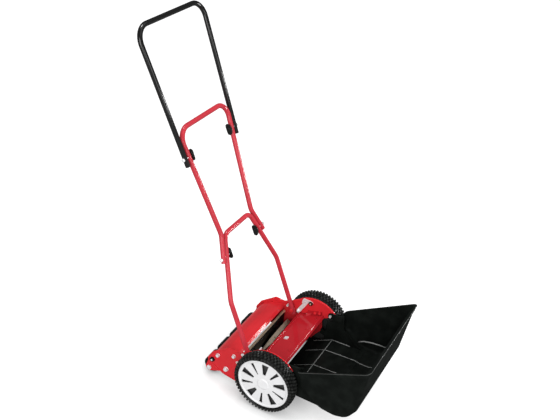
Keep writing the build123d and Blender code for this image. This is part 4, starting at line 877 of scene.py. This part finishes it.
# Studio: pale floor, white surroundings and five area lamps as (name, place, size, power)
FLOOR_HALF = 9.0
FLOOR_GREY = (0.34, 0.34, 0.34, 1.0)
FLOOR_GLOW = (0.84, 0.84, 0.84, 1.0)
FLOOR_ROUGHNESS = 0.9
FLOOR_SHADE_REACH = 0.09
WORLD_LIGHT = (0.74, 0.74, 0.75, 1.0)
WORLD_MIRRORED = (0.24, 0.24, 0.24, 1.0)
WORLD_SHOWN = (1.0, 1.0, 1.0, 1.0)
LAMPS = [
    ("overhead_softbox", Vector((-0.4, 0.6, 2.6)), (2.2, 1.6), 8.0),
    ("side_fill", Vector((5.2, 1.0, 2.45)), (4.0, 4.0), 232.0),
    ("front_softbox", Vector((0.95, 2.0, 0.95)), (0.9, 1.4), 15.0),
    ("kicker", Vector((-1.14, 1.06, 0.73)), (0.40, 0.20), 12.0),
    ("top_lamp", Vector((-0.16, -0.61, 2.54)), (0.40, 0.30), 12.0),
]
AIM = Vector((0.0, 0.0, 0.15))


def when_seen(tree, bare, shown, rays="Is Camera Ray"):
    """Mixes two shaders so that the second is what one kind of ray sees."""
    path = tree.nodes.new("ShaderNodeLightPath")
    choose = tree.nodes.new("ShaderNodeMixShader")
    tree.links.new(path.outputs[rays], choose.inputs["Fac"])
    tree.links.new(bare, choose.inputs[1])
    tree.links.new(shown, choose.inputs[2])
    return choose.outputs["Shader"]


def floor():
    """Pale floor that the camera sees brightened, apart from the shade close under the mower."""
    mesh = bpy.data.meshes.new("floor")
    corners = [(x * FLOOR_HALF, y * FLOOR_HALF, 0.0) for x, y in SQUARE]
    mesh.from_pydata(corners, [], [(0, 1, 2, 3)])
    ground = bpy.data.objects.new("floor", mesh)
    bpy.context.scene.collection.objects.link(ground)
    material = bpy.data.materials.new("pale_floor")
    material.use_nodes = True
    tree = material.node_tree
    shader = tree.nodes["Principled BSDF"]
    shader.inputs["Base Color"].default_value = FLOOR_GREY
    shader.inputs["Roughness"].default_value = FLOOR_ROUGHNESS
    shader.inputs["Specular IOR Level"].default_value = 0.0
    shelter = tree.nodes.new("ShaderNodeAmbientOcclusion")
    shelter.inputs["Distance"].default_value = FLOOR_SHADE_REACH
    glow = tree.nodes.new("ShaderNodeEmission")
    glow.inputs["Color"].default_value = FLOOR_GLOW
    tree.links.new(shelter.outputs["AO"], glow.inputs["Strength"])
    lit = tree.nodes.new("ShaderNodeAddShader")
    tree.links.new(shader.outputs["BSDF"], lit.inputs[0])
    tree.links.new(glow.outputs["Emission"], lit.inputs[1])
    surface = when_seen(tree, shader.outputs["BSDF"], lit.outputs["Shader"])
    tree.links.new(surface, tree.nodes["Material Output"].inputs["Surface"])
    mesh.materials.append(material)


def surroundings():
    """White to the camera, and dimmer for light and for mirror images."""
    world = bpy.data.worlds.new("studio")
    world.use_nodes = True
    tree = world.node_tree
    lighting = tree.nodes["Background"]
    lighting.inputs["Color"].default_value = WORLD_LIGHT
    mirrored = tree.nodes.new("ShaderNodeBackground")
    mirrored.inputs["Color"].default_value = WORLD_MIRRORED
    shown = tree.nodes.new("ShaderNodeBackground")
    shown.inputs["Color"].default_value = WORLD_SHOWN
    surface = when_seen(tree, lighting.outputs["Background"], mirrored.outputs["Background"], "Is Glossy Ray")
    surface = when_seen(tree, surface, shown.outputs["Background"])
    tree.links.new(surface, tree.nodes["World Output"].inputs["Surface"])
    bpy.context.scene.world = world


def softbox(name, place, size, power):
    light = bpy.data.lights.new(name, "AREA")
    light.shape = "RECTANGLE"
    light.size = size[0]
    light.size_y = size[1]
    light.energy = power
    lamp = bpy.data.objects.new(name, light)
    lamp.location = place
    lamp.rotation_euler = (AIM - place).to_track_quat("-Z", "Y").to_euler()
    bpy.context.scene.collection.objects.link(lamp)


def camera():
    view = bpy.data.cameras.new("photo_view")
    view.lens = CAMERA_LENS
    view.sensor_width = CAMERA_SENSOR
    view.sensor_fit = "HORIZONTAL"
    view.clip_start = CAMERA_CLIP
    stand = bpy.data.objects.new("photo_view", view)
    back = CAMERA_BACK.normalized()
    right = (CAMERA_RIGHT - CAMERA_RIGHT.dot(back) * back).normalized()
    up = back.cross(right)
    turn = Matrix((right, up, back)).transposed().to_4x4()
    stand.matrix_world = Matrix.Translation(CAMERA_PLACE) @ turn
    bpy.context.scene.collection.objects.link(stand)
    bpy.context.scene.camera = stand


floor()
surroundings()
for lamp in LAMPS:
    softbox(*lamp)
camera()
bpy.context.scene.view_settings.view_transform = "Standard"
